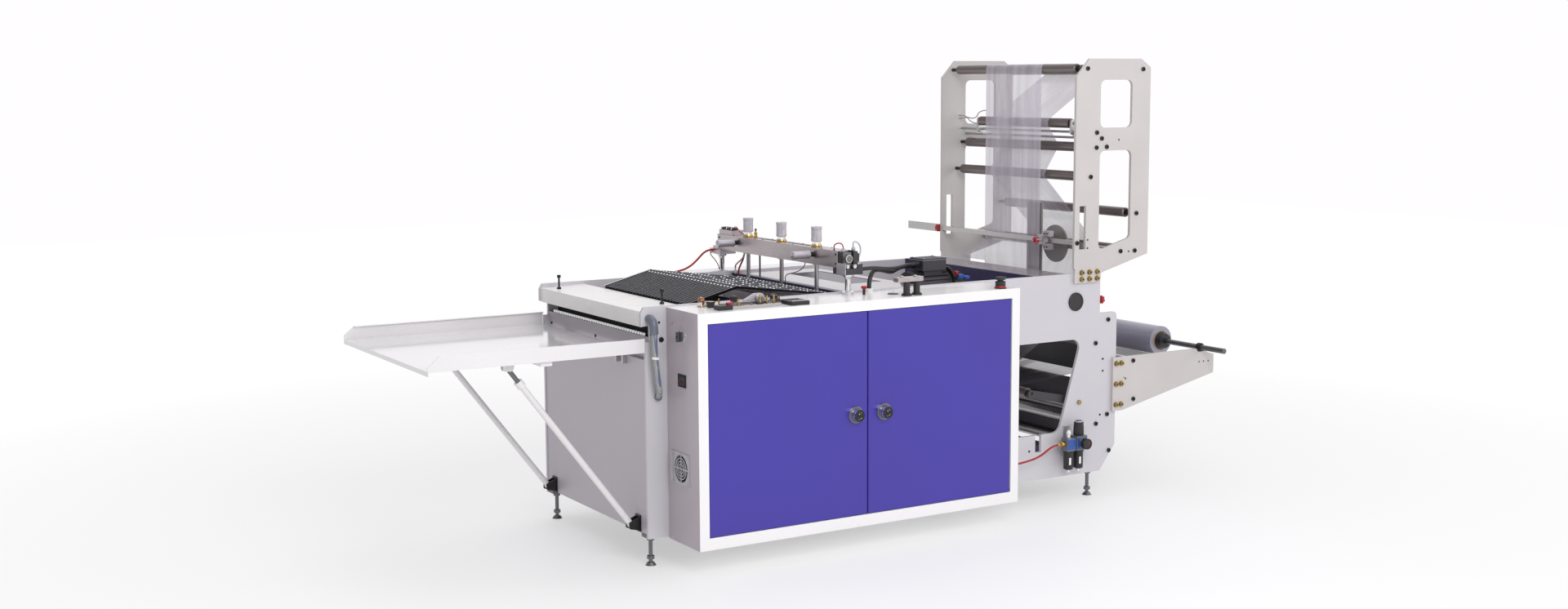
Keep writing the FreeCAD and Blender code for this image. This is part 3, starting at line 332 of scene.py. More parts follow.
def finish_mesh(name, bm, look, body="frame", bevel=0.0, smooth=True):
    """Turns a bmesh into a piece that rides on a body."""
    bmesh.ops.recalc_face_normals(bm, faces=bm.faces[:])
    obj = mesh_object(name, bm, look)
    if smooth:
        obj.data.shade_smooth()
        obj.data.set_sharp_from_angle(angle=math.radians(35))
    if bevel:
        mod = obj.modifiers.new("edges", "BEVEL")
        mod.width = bevel
        mod.segments = 3
        mod.limit_method = "ANGLE"
        mod.angle_limit = math.radians(40)
        mod.harden_normals = True
    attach(obj, body)
    return obj


def add_box(bm, low, high):
    corners = [bm.verts.new((x, y, z)) for x in (low[0], high[0]) for y in (low[1], high[1])
        for z in (low[2], high[2])]
    for quad in ((0, 1, 3, 2), (4, 6, 7, 5), (0, 4, 5, 1), (2, 3, 7, 6), (0, 2, 6, 4), (1, 5, 7, 3)):
        bm.faces.new([corners[k] for k in quad])


def add_walls(bm, rings):
    """Quads between each closed ring of vertices and the next."""
    for a, b in zip(rings, rings[1:]):
        for k in range(len(a)):
            j = (k + 1) % len(a)
            bm.faces.new([a[k], a[j], b[j], b[k]])


def axes_for(axis):
    along = Vector(axis).normalized()
    side = along.orthogonal().normalized()
    return along, side, along.cross(side)


def add_lathe(bm, origin, axis, profile, steps=32, flutes=0, depth=0.0, bore=0.0):
    """Turned solid from (distance along axis, radius) stations, closed or bored right through."""
    if bore:
        profile = [(profile[0][0], bore)] + profile + [(profile[-1][0], bore)]
    along, side, cross = axes_for(axis)
    origin = Vector(origin)
    rings = []
    for reach, radius in profile:
        ring = []
        for k in range(steps):
            angle = 2 * math.pi * k / steps
            r = radius
            if flutes and radius > 0:
                r = radius - depth * (0.5 + 0.5 * math.cos(flutes * angle))
            ring.append(bm.verts.new(origin + along * reach + (side * math.cos(angle)
                + cross * math.sin(angle)) * r))
        rings.append(ring)
    if bore:
        add_walls(bm, rings + rings[:1])
        return
    add_walls(bm, rings)
    bm.faces.new(rings[0][::-1])
    bm.faces.new(rings[-1])


def lathe(name, origin, axis, profile, look, body="frame", slot=None, **options):
    return turned_set(name, [(origin, axis, profile)], look, body, slot, **options)


def turned_set(name, items, look, body="frame", slot=None, **options):
    """Several turned solids of one look in one piece: (origin, axis, profile)."""
    bm = bmesh.new()
    for origin, axis, profile in items:
        add_lathe(bm, origin, axis, profile, **options)
    return finish_mesh(name, bm, look, body)


def boxes(name, items, look, body="frame", bevel=0.0006):
    bm = bmesh.new()
    for low, high in items:
        add_box(bm, low, high)
    return finish_mesh(name, bm, look, body, bevel=bevel, smooth=False)


def plate(name, points, plane, low, high, look, body="frame", bevel=0.0006):
    """Extruded polygon; plane is the axis along which it is extruded."""
    bm = bmesh.new()

    def at(a, b, c):
        return {"x": (c, a, b), "y": (a, c, b), "z": (a, b, c)}[plane]
    near = [bm.verts.new(at(a, b, low)) for a, b in points]
    far = [bm.verts.new(at(a, b, high)) for a, b in points]
    bm.faces.new(near)
    bm.faces.new(far[::-1])
    add_walls(bm, [near, far])
    return finish_mesh(name, bm, look, body, bevel=bevel, smooth=False)


def bent_rods(name, routes, radius, look, body="frame", steps=12):
    """Stiff round rods along smooth routes, as closed meshes."""
    bm = bmesh.new()
    for route in routes:
        path = smooth_path([Vector(p) for p in route])
        rings = []
        up = Vector((0, 0, 1))
        for k, point in enumerate(path):
            ahead = (path[min(k + 1, len(path) - 1)] - path[max(k - 1, 0)]).normalized()
            side = ahead.cross(up)
            if side.length < 0.2:
                side = ahead.cross(Vector((1, 0, 0)))
            side.normalize()
            up = side.cross(ahead).normalized()
            rings.append([bm.verts.new(point + (side * math.cos(a) + up * math.sin(a)) * radius)
                for a in (2 * math.pi * i / steps for i in range(steps))])
        add_walls(bm, rings)
        bm.faces.new(rings[0])
        bm.faces.new(rings[-1])
    return finish_mesh(name, bm, look, body)


def smooth_path(points, cuts=6):
    """Catmull-Rom curve through the points."""
    path = []
    for k in range(len(points) - 1):
        p0 = points[max(k - 1, 0)]
        p1, p2 = points[k], points[k + 1]
        p3 = points[min(k + 2, len(points) - 1)]
        for c in range(cuts):
            t = c / cuts
            path.append(0.5 * (2 * p1 + (p2 - p0) * t + (2 * p0 - 5 * p1 + 4 * p2 - p3) * t ** 2
                + (3 * p1 - p0 - 3 * p2 + p3) * t ** 3))
    return path + [points[-1]]


def rounded(r, height, edge):
    """Lathe profile of a disc with rounded rims."""
    points = [(0, r - edge)]
    for k in range(1, 5):
        a = math.pi / 2 * k / 4
        points.append((edge - edge * math.cos(a), r - edge + edge * math.sin(a)))
    for k in range(0, 5):
        a = math.pi / 2 * k / 4
        points.append((height - edge + edge * math.sin(a), r - edge + edge * math.cos(a)))
    return points


# ---- cords -------------------------------------------------------------------------

def cord_piece(name, points, radius, look, body, node=None):
    """Smooth NURBS cord through its route."""
    data = bpy.data.curves.new(name, "CURVE")
    data.dimensions = "3D"
    spline = data.splines.new("NURBS")
    spline.points.add(len(points) - 1)
    for target, point in zip(spline.points, points):
        target.co = (*point, 1)
    spline.order_u = 3
    spline.use_endpoint_u = True
    data.resolution_u = 10
    data.bevel_depth = radius
    data.bevel_resolution = 5
    data.use_fill_caps = True
    data.materials.append(M[look])
    obj = bpy.data.objects.new(name, data)
    scene.collection.objects.link(obj)
    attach(obj, body)
    if node:
        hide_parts(node)
    return obj


def make_cords():
    cord_piece("conduit_sleeve", [(-0.911, -0.427, 0.861), (-0.911, -0.446, 0.86),
        (-0.91, -0.461, 0.846), (-0.909, -0.463, 0.825), (-0.908, -0.462, 0.79), (-0.905, -0.46, 0.745),
        (-0.901, -0.461, 0.698), (-0.896, -0.462, 0.652), (-0.89, -0.459, 0.616),
        (-0.885, -0.446, 0.596), (-0.881, -0.427, 0.59)], 0.0105, "conduit", "frame",
        "signal_conduit")
    cord_piece("supply_hose", [(0.852, -0.472, 0.24), (0.826, -0.472, 0.24), (0.795, -0.473, 0.23),
        (0.762, -0.475, 0.212), (0.725, -0.477, 0.2), (0.68, -0.478, 0.193), (0.635, -0.478, 0.189),
        (0.592, -0.478, 0.187), (0.548, -0.476, 0.19), (0.499, -0.476, 0.19)], 0.004, "red_hose",
        "frame", "air_supply_hose")
    cord_piece("power_cable_head", [(-0.0745, -0.462, 0.982), (-0.04, -0.458, 0.983),
        (0.0, -0.447, 0.98), (0.044, -0.428, 0.974), (0.092, -0.4, 0.968), (0.144, -0.364, 0.964),
        (0.198, -0.322, 0.962), (0.246, -0.278, 0.96), (0.29, -0.246, 0.958), (0.3358, -0.246, 0.958)],
        0.007, "rubber", "frame", "head_cable")
    cord_piece("power_cable_deck", [(-0.033, -0.45, 0.895), (-0.033, -0.45, 0.925),
        (-0.026, -0.446, 0.946), (-0.012, -0.437, 0.962), (0.008, -0.424, 0.97), (0.042, -0.402, 0.968),
        (0.084, -0.373, 0.959), (0.128, -0.338, 0.949), (0.172, -0.297, 0.942), (0.214, -0.252, 0.94),
        (0.254, -0.218, 0.943), (0.294, -0.204, 0.948), (0.3358, -0.204, 0.948)], 0.008, "rubber",
        "frame", "deck_cable")
    cord_piece("air_hose_head", [(-0.1643, 0.459, 0.985), (-0.192, 0.459, 0.985),
        (-0.219, 0.458, 0.971), (-0.244, 0.456, 0.948), (-0.272, 0.452, 0.928), (-0.304, 0.449, 0.914),
        (-0.336, 0.45, 0.908), (-0.366, 0.456, 0.901)], 0.004, "red_hose", "frame",
        "head_air_hose")


# ---- surfaces of the CAD nodes -------------------------------------------------------

NODE_LOOKS = {
    "cream": ("cabinet_shell", "rear_cover"),
    "cream_side": ("side_plate_front", "side_plate_rear"),
    "panel": ("end_panel",),
    "tower": ("tower_plate_front", "tower_plate_rear", "unwind_arm_front", "unwind_arm_rear"),
    "gloss": ("deck_plates", "outfeed_hood"),
    "tray": ("tray", "strut_tubes"),
    "violet": ("door_left", "door_right"),
    "purple": ("cross_members",),
    "steel": ("tie_bars", "ruler_bar", "sealing_jaw", "unwind_shaft", "strut_brackets"),
    "dark_steel": ("levelling_feet", "strut_rods", "end_selector"),
    "guide_plate": ("web_guide_plate",),
    "beam": ("sealing_beam",),
    "anodised": ("top_idler_left", "top_idler_right", "centre_idler", "tower_idler_upper",
                 "tower_idler_middle", "tower_idler_lower", "tower_idler_base", "base_idler",
                 "dancer_roller"),
    "cast": ("motor", "dancer_arm"),
    "chrome": ("door_knob_left", "door_knob_right", "guide_columns"),
    "zinc": ("zinc_bolts",),
    "oxide": ("black_screws",),
    "fan": ("fan_guard",),
    "black": ("fan_rotor", "power_rocker", "stop_button", "speed_dial", "regulator_knob",
              "deck_fittings"),
    "belt": ("outfeed_belts",),
    "slate": ("air_unit",),
    "roll": ("film_roll",),
    "light_cast": ("press_cylinders", "edge_sensor"),
    "film": ("web_film",),
    "rubber": ("head_cable", "deck_cable"),
    "red_hose": ("air_supply_hose", "head_air_hose"),
    "conduit": ("signal_conduit",),
}


def dress_nodes():
    for look, nodes in NODE_LOOKS.items():
        for name in nodes:
            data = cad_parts[name].data
            data.materials.clear()
            data.materials.append(M[look])


def make_floor():
    """Pale floor that fades into the white surroundings away from the machine."""
    M["floor"] = surface("studio_floor", (0.88, 0.88, 0.885), rough=(0.5, 0.6), vary=0.004, scale=1.0,
        bump=0.0)
    tree = M["floor"].node_tree
    place = tree.nodes.new("ShaderNodeTexCoord")
    reach = tree.nodes.new("ShaderNodeVectorMath")
    reach.operation = "LENGTH"
    far = tree.nodes.new("ShaderNodeMapRange")
    put(far, {"From Min": 1.6, "From Max": 4.2, "To Min": 0.45})
    tree.links.new(place.outputs["Object"], reach.inputs[0])
    tree.links.new(reach.outputs["Value"], far.inputs["Value"])
    glow = tree.nodes.new("ShaderNodeEmission")
    blend = tree.nodes.new("ShaderNodeMixShader")
    tree.links.new(far.outputs["Result"], blend.inputs[0])
    tree.links.new(tree.nodes["Principled BSDF"].outputs[0], blend.inputs[1])
    tree.links.new(glow.outputs[0], blend.inputs[2])
    tree.links.new(blend.outputs[0], tree.nodes["Material Output"].inputs["Surface"])
    bm = bmesh.new()
    add_box(bm, (-14, -14, -0.02), (14, 14, -0.0005))
    bmesh.ops.recalc_face_normals(bm, faces=bm.faces[:])
    mesh_object("floor", bm, "floor")


# ---- local repainting of CAD nodes -----------------------------------------------------

def region(node, look, low, high):
    """Gives the faces of a CAD node whose centres lie in a box another material."""
    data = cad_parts[node].data
    material = M[look]
    if material.name not in data.materials:
        data.materials.append(material)
    index = data.materials.find(material.name)
    for face in data.polygons:
        if all(low[k] <= face.center[k] <= high[k] for k in range(3)):
            face.material_index = index


# faces of a CAD node to repaint: the look, and two corners of a box round their centres
REGIONS = {
    "cabinet_shell": [
        # the cabinet's end face takes the darker copy of the cream: painted shade
        ("cab_end_shade", (-0.8445, -0.66, 0.0), (-0.8385, -0.44, 0.893))],
    "sealing_beam": [
        ("cast", (-0.17, -0.5, 0.967), (-0.05, -0.4135, 1.0005)),
        ("light_cast", (-0.17, 0.4135, 0.967), (-0.05, 0.5, 1.0005)),
        ("brass", (-0.147, -0.27, 0.983), (-0.113, 0.27, 0.98895)),
        ("cast", (-0.161, -0.475, 1.0005), (-0.123, -0.445, 1.047)),
        ("cast", (-0.119, -0.473, 1.0005), (-0.095, -0.447, 1.049)),
        ("dull_steel", (-0.157, -0.487, 1.009), (-0.127, -0.4735, 1.039)),
        ("brass", (-0.137, 0.183, 1.0495), (-0.123, 0.197, 1.09))],
    "deck_fittings": [
        ("steel", (-0.71, -0.546, 0.89), (-0.47, -0.536, 0.92)),
        ("beam", (-0.725, -0.611, 0.9025), (-0.503, -0.574, 0.9035)),
        ("light_cast", (-0.61, -0.521, 0.89), (-0.5, -0.505, 0.94)),
        ("brass", (-0.59, -0.61, 0.9035), (-0.51, -0.585, 0.95)),
        ("brass", (-0.665, -0.61, 0.9035), (-0.655, -0.59, 0.95)),
        ("chrome", (-0.76, -0.5, 0.89), (-0.69, -0.46, 0.92)),
        ("chrome", (-0.155, -0.49, 0.89), (-0.1, -0.43, 0.91)),
        ("beam", (-0.03, -0.63, 0.944), (0.09, -0.59, 0.97)),
        ("white_plastic", (-0.05, -0.47, 0.89), (-0.015, -0.43, 0.912)),
        ("red", (-0.105, -0.52, 0.9165), (-0.08, -0.49, 0.93))],
    "unwind_shaft": [
        ("black", (1.57, -0.235, 0.51), (1.66, -0.207, 0.61)),
        ("black", (1.57, 0.192, 0.51), (1.66, 0.218, 0.61)),
        ("dark_steel", (1.56, -0.72, 0.5), (1.67, -0.236, 0.62)),
        ("dark_steel", (1.56, 0.236, 0.5), (1.67, 0.72, 0.62)),
        ("oxide", (1.59, -0.442, 0.53), (1.64, -0.424, 0.58)),
        ("oxide", (1.59, 0.424, 0.53), (1.64, 0.442, 0.58))],
    "air_unit": [
        ("black", (0.87, -0.495, 0.12), (0.97, -0.45, 0.2115)),
        ("light_cast", (0.89, -0.456, 0.17), (0.96, -0.42, 0.31)),
        ("chrome", (0.88, -0.485, 0.2625), (0.905, -0.46, 0.29)),
        ("black", (0.92, -0.53, 0.215), (0.97, -0.4955, 0.27)),
        ("brass", (0.85, -0.49, 0.22), (0.8715, -0.45, 0.26))],
    "strut_brackets": [
        ("oxide", (-0.97, -0.4, 0.1), (-0.92, 0.4, 0.175))],
    "outfeed_belts": [
        ("steel", (-0.76, 0.2445, 0.88), (-0.55, 0.2565, 0.96))],
    "outfeed_hood": [
        ("white_plastic", (-0.94, -0.42, 0.83), (-0.75, 0.42, 0.9))],
    "motor": [
        ("oxide", (0.4695, -0.3, 0.8), (0.535, -0.15, 0.945))],
    "cross_members": [
        ("steel", (-0.153, -0.42, 0.77), (-0.107, 0.42, 0.836))],
}


KNOBS = (("left", -0.224), ("right", -0.105))


def paint_regions():
    for node, rows in REGIONS.items():
        for look, low, high in rows:
            region(node, look, low, high)
    for side, x in KNOBS:
        region("door_knob_" + side, "oxide", (x - 0.03, -0.6785, 0.467), (x + 0.03, -0.677, 0.527))


# ---- film ----------------------------------------------------------------------------

WEB_Y = (-0.187, 0.17)
# x, z, radius and turning sense of what the web passes, from the roll to the jaw
WEB_STOPS = [
    (1.6155, 0.4948, 0.0, 0), (0.76, 0.44, 0.0197, -1), (1.123, 0.707, 0.0197, 1),
    (1.244, 0.976, 0.0197, 1), (1.01, 1.275, 0.0197, -1), (1.037, 1.388, 0.0197, 1),
    (1.022, 1.48, 0.0197, -1), (1.271, 1.69, 0.0197, 1), (0.987, 1.693, 0.0197, 1),
    (0.9482, 0.8, 0.0197, -1), (0.232, 0.8002, 0.0197, -1), (-0.02, 0.817, 0.0197, 1),
    (-0.146, 0.837, 0.0, 0),
]


def tangent_points(a, b):
    """Where a web leaves stop a and meets stop b."""
    heading = math.atan2(b[1] - a[1], b[0] - a[0])
    gap = math.hypot(b[0] - a[0], b[1] - a[1])
    lean = math.asin((b[2] * b[3] - a[2] * a[3]) / gap)
    left = heading - lean + math.pi / 2
    return [(s[0] - s[2] * s[3] * math.cos(left), s[1] - s[2] * s[3] * math.sin(left)) for s in (a, b)]


def wrap_points(stop, arrive, leave, steps=10):
    """Points of the arc that a web lies on, round one stop."""
    start = math.atan2(arrive[1] - stop[1], arrive[0] - stop[0])
    end = math.atan2(leave[1] - stop[1], leave[0] - stop[0])
    sweep = ((end - start) * stop[3]) % (2 * math.pi) * stop[3]
    return [(stop[0] + stop[2] * math.cos(start + sweep * k / steps), stop[1]
        + stop[2] * math.sin(start + sweep * k / steps)) for k in range(steps + 1)]


def span_points(a, b, steps=16):
    """Evenly spaced points of a straight run."""
    return [(a[0] + (b[0] - a[0]) * k / steps, a[1] + (b[1] - a[1]) * k / steps)
        for k in range(steps + 1)]


def film_piece(name, path, body=None, blend=None, look="film", seed=3):
    """Tight film along a side-view path, with faint lengthwise ripples."""
    rng = random.Random(seed)
    waves = [(rng.uniform(25, 70), rng.uniform(0, 6.28), rng.uniform(0.0001, 0.00025))
        for _ in range(5)]
    bm = bmesh.new()
    rows = []
    columns = 22
    for k, (x, z) in enumerate(path):
        before = path[max(k - 1, 0)]
        after = path[min(k + 1, len(path) - 1)]
        run = math.hypot(after[0] - before[0], after[1] - before[1]) or 1
        nx, nz = -(after[1] - before[1]) / run, (after[0] - before[0]) / run
        y0, y1 = WEB_Y
        row = []
        for c in range(columns + 1):
            y = y0 + (y1 - y0) * c / columns
            lift = sum(a * math.sin(f * y + p) for f, p, a in waves)
            row.append(bm.verts.new((x + nx * lift, y, z + nz * lift)))
        rows.append(row)
    for a, b in zip(rows, rows[1:]):
        for c in range(columns):
            bm.faces.new([a[c], a[c + 1], b[c + 1], b[c]])
    obj = mesh_object(name, bm, look)
    obj.data.shade_smooth()
    if blend:
        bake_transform(obj)
    else:
        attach(obj, body)
    return obj


def make_film():
    touch = [tangent_points(a, b) for a, b in zip(WEB_STOPS, WEB_STOPS[1:])]
    unwind = span_points(*touch[0])
    wrap = wrap_points(WEB_STOPS[1], touch[0][1], touch[1][0])
    entry = span_points(*touch[1])
    tower = []
    for k in range(2, len(WEB_STOPS) - 1):
        tower += wrap_points(WEB_STOPS[k], touch[k - 1][1], touch[k][0])
        tower += span_points(*touch[k], steps=12)[1:-1]
    tower.append(touch[-1][1])

    def spot(p):
        return (p[0], 0, p[1])
    main = film_piece("film_tower_run", tower, "frame", seed=3)
    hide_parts("web_film")
    # the film runs in the base take the dark film_shade look: painted shade
    film_piece("film_dancer_wrap", wrap, "dancer_arm", look="film_shade", seed=4)
    film_piece("film_dancer_entry", entry[::-1], blend=(spot(entry[-1]), spot(entry[0])),
        look="film_shade", seed=5)
    film_piece("film_unwind_run", unwind, blend=(spot(unwind[0]), spot(unwind[-1])), look="film_shade",
        seed=6)
    bm = bmesh.new()
    corners = [(0.9672, 0.166, 0.902), (0.9672, 0.33, 0.902), (0.9672, 0.168, 0.974)]
    bm.faces.new([bm.verts.new(c) for c in corners])
    bmesh.ops.subdivide_edges(bm, edges=bm.edges[:], cuts=6, use_grid_fill=True)
    for vert in bm.verts:
        vert.co.x += 0.0012 * math.sin(90 * vert.co.y) * math.sin(60 * vert.co.z)
    gusset = mesh_object("film_gusset", bm, "film")
    gusset.data.shade_smooth()
    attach(gusset, "frame")


# ---- sealing head -----------------------------------------------------------------------

HEAD_X = -0.13


def make_head():
    body = "sealing_head"
    stations = (-0.25, -0.002, 0.248)
    barrel = [(0.014, 0.0092), (0, 0.0092), (0, 0.0185), (0.0015, 0.02), (0.009, 0.02), (0.01, 0.0192),
        (0.044, 0.0192), (0.045, 0.02), (0.0525, 0.02), (0.054, 0.0185), (0.054, 0.012),
        (0.0515, 0.011), (0.0515, 0.002)]
    barrels = turned_set("cylinder_barrels", [((HEAD_X, y, 1.069), UP, barrel) for y in stations],
        "light_cast", body, steps=72, flutes=36, depth=0.0007)
    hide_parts("press_cylinders")
    ring = [(0, 0.013), (0.0, 0.0165), (0.003, 0.0165), (0.0035, 0.0135), (0.006, 0.0135),
        (0.0065, 0.016), (0.01, 0.016), (0.0105, 0.013)]
    turned_set("cylinder_rings", [((HEAD_X, y, 1.0585), UP, ring) for y in stations], "chrome", body,
        bore=0.0092)
    base = [(0, 0.0195), (0.001, 0.0205), (0.004, 0.0205), (0.0048, 0.0185), (0.0095, 0.0175)]
    turned_set("cylinder_bases", [((HEAD_X, y, 1.0492), UP, base) for y in stations], "brass", body,
        steps=36, bore=0.0092)
    side = [(0, 0.0115), (0.0015, 0.015), (0.01, 0.015), (0.011, 0.0142), (0.064, 0.0142),
        (0.065, 0.015), (0.072, 0.015), (0.0725, 0.0125)]
    side_items = [((HEAD_X - 0.116, y, 1.024), INFEED, side) for y in (-0.268, 0.29)]
    turned_set("side_cylinders", side_items, "light_cast", body, steps=48, flutes=24, depth=0.0005)
    neck = [(0, 0.0105), (0.003, 0.0118), (0.006, 0.0105), (0.0065, 0.0085), (0.014, 0.0085)]
    turned_set("side_cylinder_necks", [((HEAD_X - 0.044, y, 1.024), INFEED, neck)
        for y in (-0.268, 0.29)], "oxide", body)
    cap = [(0, 0.004), (0.0008, 0.006), (0.002, 0.006)]
    turned_set("side_cylinder_caps", [((HEAD_X - 0.1178, y, 1.024), INFEED, cap)
        for y in (-0.268, 0.29)], "steel", body, steps=24)
    boxes("beam_slot_cover", [((HEAD_X - 0.003, -0.205, 1.0488), (HEAD_X + 0.007, -0.045, 1.0502)),
        ((HEAD_X - 0.003, 0.045, 1.0488), (HEAD_X + 0.007, 0.165, 1.0502))], "cast", body)
    screws = [((HEAD_X - 0.0302, y, z), OUTFEED, rounded(0.0035, 0.0022, 0.0008))
        for y in (-0.425, 0.425) for z in (1.003, 1.036)]
    turned_set("beam_end_screws", screws, "oxide", body, steps=18)
    top = [((HEAD_X + dx, y, 1.0488), UP, rounded(0.0028, 0.0018, 0.0006))
        for y in (-0.4, -0.32, -0.12, 0.1, 0.32) for dx in (-0.022, 0.022)]
    turned_set("beam_top_screws", top, "oxide", body, steps=16)
    make_head_front(body)
    make_head_rear(body)


def make_head_front(body):
    """Air valve stack, dial and connectors on the front end of the beam."""
    dial = rounded(0.0118, 0.0012, 0.0005)
    lathe("head_gauge_face", (-0.142, -0.4862, 1.024), FRONT, dial, "dull_steel", body, steps=40)
    rim = [(0, 0.0142), (0.0022, 0.0142), (0.003, 0.0134), (0.003, 0.012), (0.0006, 0.0118)]
    lathe("head_gauge_rim", (-0.142, -0.4852, 1.024), FRONT, rim, "chrome", body, steps=40)
    knob = [(0, 0.0055), (0.003, 0.0075), (0.01, 0.0075), (0.0115, 0.006), (0.014, 0.006),
        (0.015, 0.004)]
    turned_set("head_valve_knobs", [((-0.15, -0.46, 1.046), UP, knob), ((-0.107, -0.46, 1.048), UP,
        knob)], "light_cast", body, steps=40, flutes=20, depth=0.0006)
    stub = rounded(0.008, 0.014, 0.0015)
    turned_set("head_valve_stubs", [((-0.15, -0.487, 0.9892), UP, stub),
        ((-0.12, -0.487, 0.9892), UP, stub)], "chrome", body, steps=28)
    boxes("head_valve_body", [((-0.1215, -0.4825, 1.004), (-0.1195, -0.446, 1.052)),
        ((-0.1625, -0.4765, 1.006), (-0.16, -0.448, 1.03)), ((-0.0955, -0.47, 1.01),
        (-0.0885, -0.452, 1.04))], "black", body)
    boxes("head_shoe_plate", [((-0.1665, -0.4985, 0.9685), (-0.1642, -0.44, 1.008))], "light_cast",
        body)
    loop = [(-0.107, -0.46, 1.062), (-0.109, -0.46, 1.072), (-0.106, -0.461, 1.082),
        (-0.096, -0.462, 1.082), (-0.084, -0.462, 1.074), (-0.077, -0.462, 1.058),
        (-0.078, -0.462, 1.04), (-0.087, -0.462, 1.024), (-0.098, -0.461, 1.011),
        (-0.108, -0.46, 1.002)]
    cord_piece("head_clear_tube", loop, 0.003, "tube", body)
    red = [(-0.15, -0.46, 1.06), (-0.151, -0.459, 1.07), (-0.156, -0.456, 1.078),
        (-0.163, -0.44, 1.078), (-0.162, -0.42, 1.07), (-0.154, -0.404, 1.06), (-0.146, -0.396, 1.0495)]
    cord_piece("head_red_tube", red, 0.0021, "red_hose", body)


def make_head_rear(body):
    """Connector row, air fitting and loose tubes at the rear end of the beam."""
    pitch = 0.019
    items = [((HEAD_X - 0.022, y, 1.0682), (HEAD_X + 0.006, y + 0.012, 1.0775))
        for y in (0.338 + pitch * k for k in range(5))]
    boxes("rear_connectors", items, "black", body, bevel=0.0012)
    boxes("rear_connector_tabs", [((HEAD_X - 0.0225, 0.34 + pitch * k, 1.07),
        (HEAD_X - 0.0165, 0.347 + pitch * k, 1.079)) for k in (0, 2, 4)], "white_plastic", body)
    boxes("rear_connector_red", [((HEAD_X - 0.0225, 0.359, 1.07), (HEAD_X - 0.0165, 0.366, 1.0785))],
        "red", body)
    fitting = [(0, 0.009), (0.006, 0.009), (0.007, 0.006), (0.014, 0.006), (0.0145, 0.0078),
        (0.019, 0.0078), (0.02, 0.0045), (0.028, 0.0038)]
    lathe("beam_air_fitting", (HEAD_X, 0.19, 1.0492), UP, fitting, "brass", body, steps=6)
    lathe("beam_fitting_cap", (HEAD_X, 0.19, 1.077), UP, rounded(0.004, 0.008, 0.001), "black", body,
        steps=16)
    red = [(HEAD_X - 0.004, 0.26, 1.056), (HEAD_X - 0.02, 0.266, 1.062), (HEAD_X - 0.026, 0.28, 1.076),
        (HEAD_X - 0.024, 0.3, 1.086), (HEAD_X - 0.018, 0.32, 1.084), (HEAD_X - 0.015, 0.338, 1.074)]
    cord_piece("rear_red_tube", red, 0.0018, "red_hose", body)
    pin = [(0, 0.0035), (0.0915, 0.0035)]
    lathe("jaw_guide_pin", (HEAD_X + 0.012, 0.18, 0.897), UP, pin, "dark_steel", body, steps=20)
    wire = [(-0.15, -0.205, 0.9885), (-0.15, -0.2, 0.976), (-0.148, -0.175, 0.96),
        (-0.145, -0.14, 0.948), (-0.142, -0.105, 0.94), (-0.139, -0.072, 0.934),
        (-0.1385, -0.046, 0.926), (-0.1385, -0.042, 0.912), (-0.1385, -0.042, 0.897)]
    cord_piece("jaw_heater_wire", wire, 0.0016, "rubber", body)
    sleeve = [(0, 0.0062), (0.014, 0.0062), (0.0148, 0.0056)]
    turned_set("jaw_sleeves", [((x, y, 0.8838), UP, sleeve) for x, y in ((-0.1385, -0.042),
        (-0.14, 0.334), (-0.14, 0.308))], "black", "sealing_jaw", steps=24, bore=0.005)
    drop = [(-0.1643, 0.47, 0.978), (-0.174, 0.47, 0.976), (-0.178, 0.468, 0.966),
        (-0.168, 0.464, 0.952), (-0.156, 0.461, 0.938), (-0.146, 0.46, 0.92), (-0.142, 0.46, 0.904)]
    cord_piece("rear_red_drop", drop, 0.0018, "red_hose", body)
    white = [(-0.139, 0.262, 0.9885), (-0.14, 0.264, 0.976), (-0.142, 0.276, 0.96),
        (-0.146, 0.304, 0.944), (-0.145, 0.324, 0.932), (-0.14, 0.334, 0.923), (-0.14, 0.334, 0.911),
        (-0.14, 0.334, 0.897)]
    cord_piece("jaw_white_tube", white, 0.0032, "tube", body)
    down = [(-0.13, 0.278, 0.9885), (-0.131, 0.279, 0.974), (-0.134, 0.284, 0.956),
        (-0.138, 0.292, 0.94), (-0.14, 0.301, 0.926), (-0.14, 0.308, 0.912), (-0.14, 0.308, 0.897)]
    cord_piece("jaw_red_tube", down, 0.0034, "red_hose", body)


# ---- outfeed, ledge and tray --------------------------------------------------------------

BELT_COUNT, BELT_PITCH, BELT_START = 27, 0.024, -0.402
BELT_LOW, BELT_RISE = 0.894, 0.05
CREST_X, CLIMB, DESCENT = -0.554, 0.196, 0.382
BELT_STATIONS = (-0.75, -0.7, -0.65, -0.6, -0.562, -0.554, -0.546, -0.5, -0.42, -0.34, -0.26, -0.2,
                 -0.172)


def belt_height(x):
    """Top of a CAD rib at x: rises to the crest and falls towards the head."""
    if x < CREST_X:
        return BELT_LOW + (x - CREST_X + CLIMB) / CLIMB * BELT_RISE
    return BELT_LOW + BELT_RISE - (x - CREST_X) / DESCENT * BELT_RISE


def add_strip(bm, y, section):
    """One bar of the given (y, z) section that follows the ribs."""
    rings = [[bm.verts.new((x, y + dy, belt_height(x) + dz)) for dy, dz in section]
        for x in BELT_STATIONS]
    add_walls(bm, rings)
    bm.faces.new(rings[0])
    bm.faces.new(rings[-1])


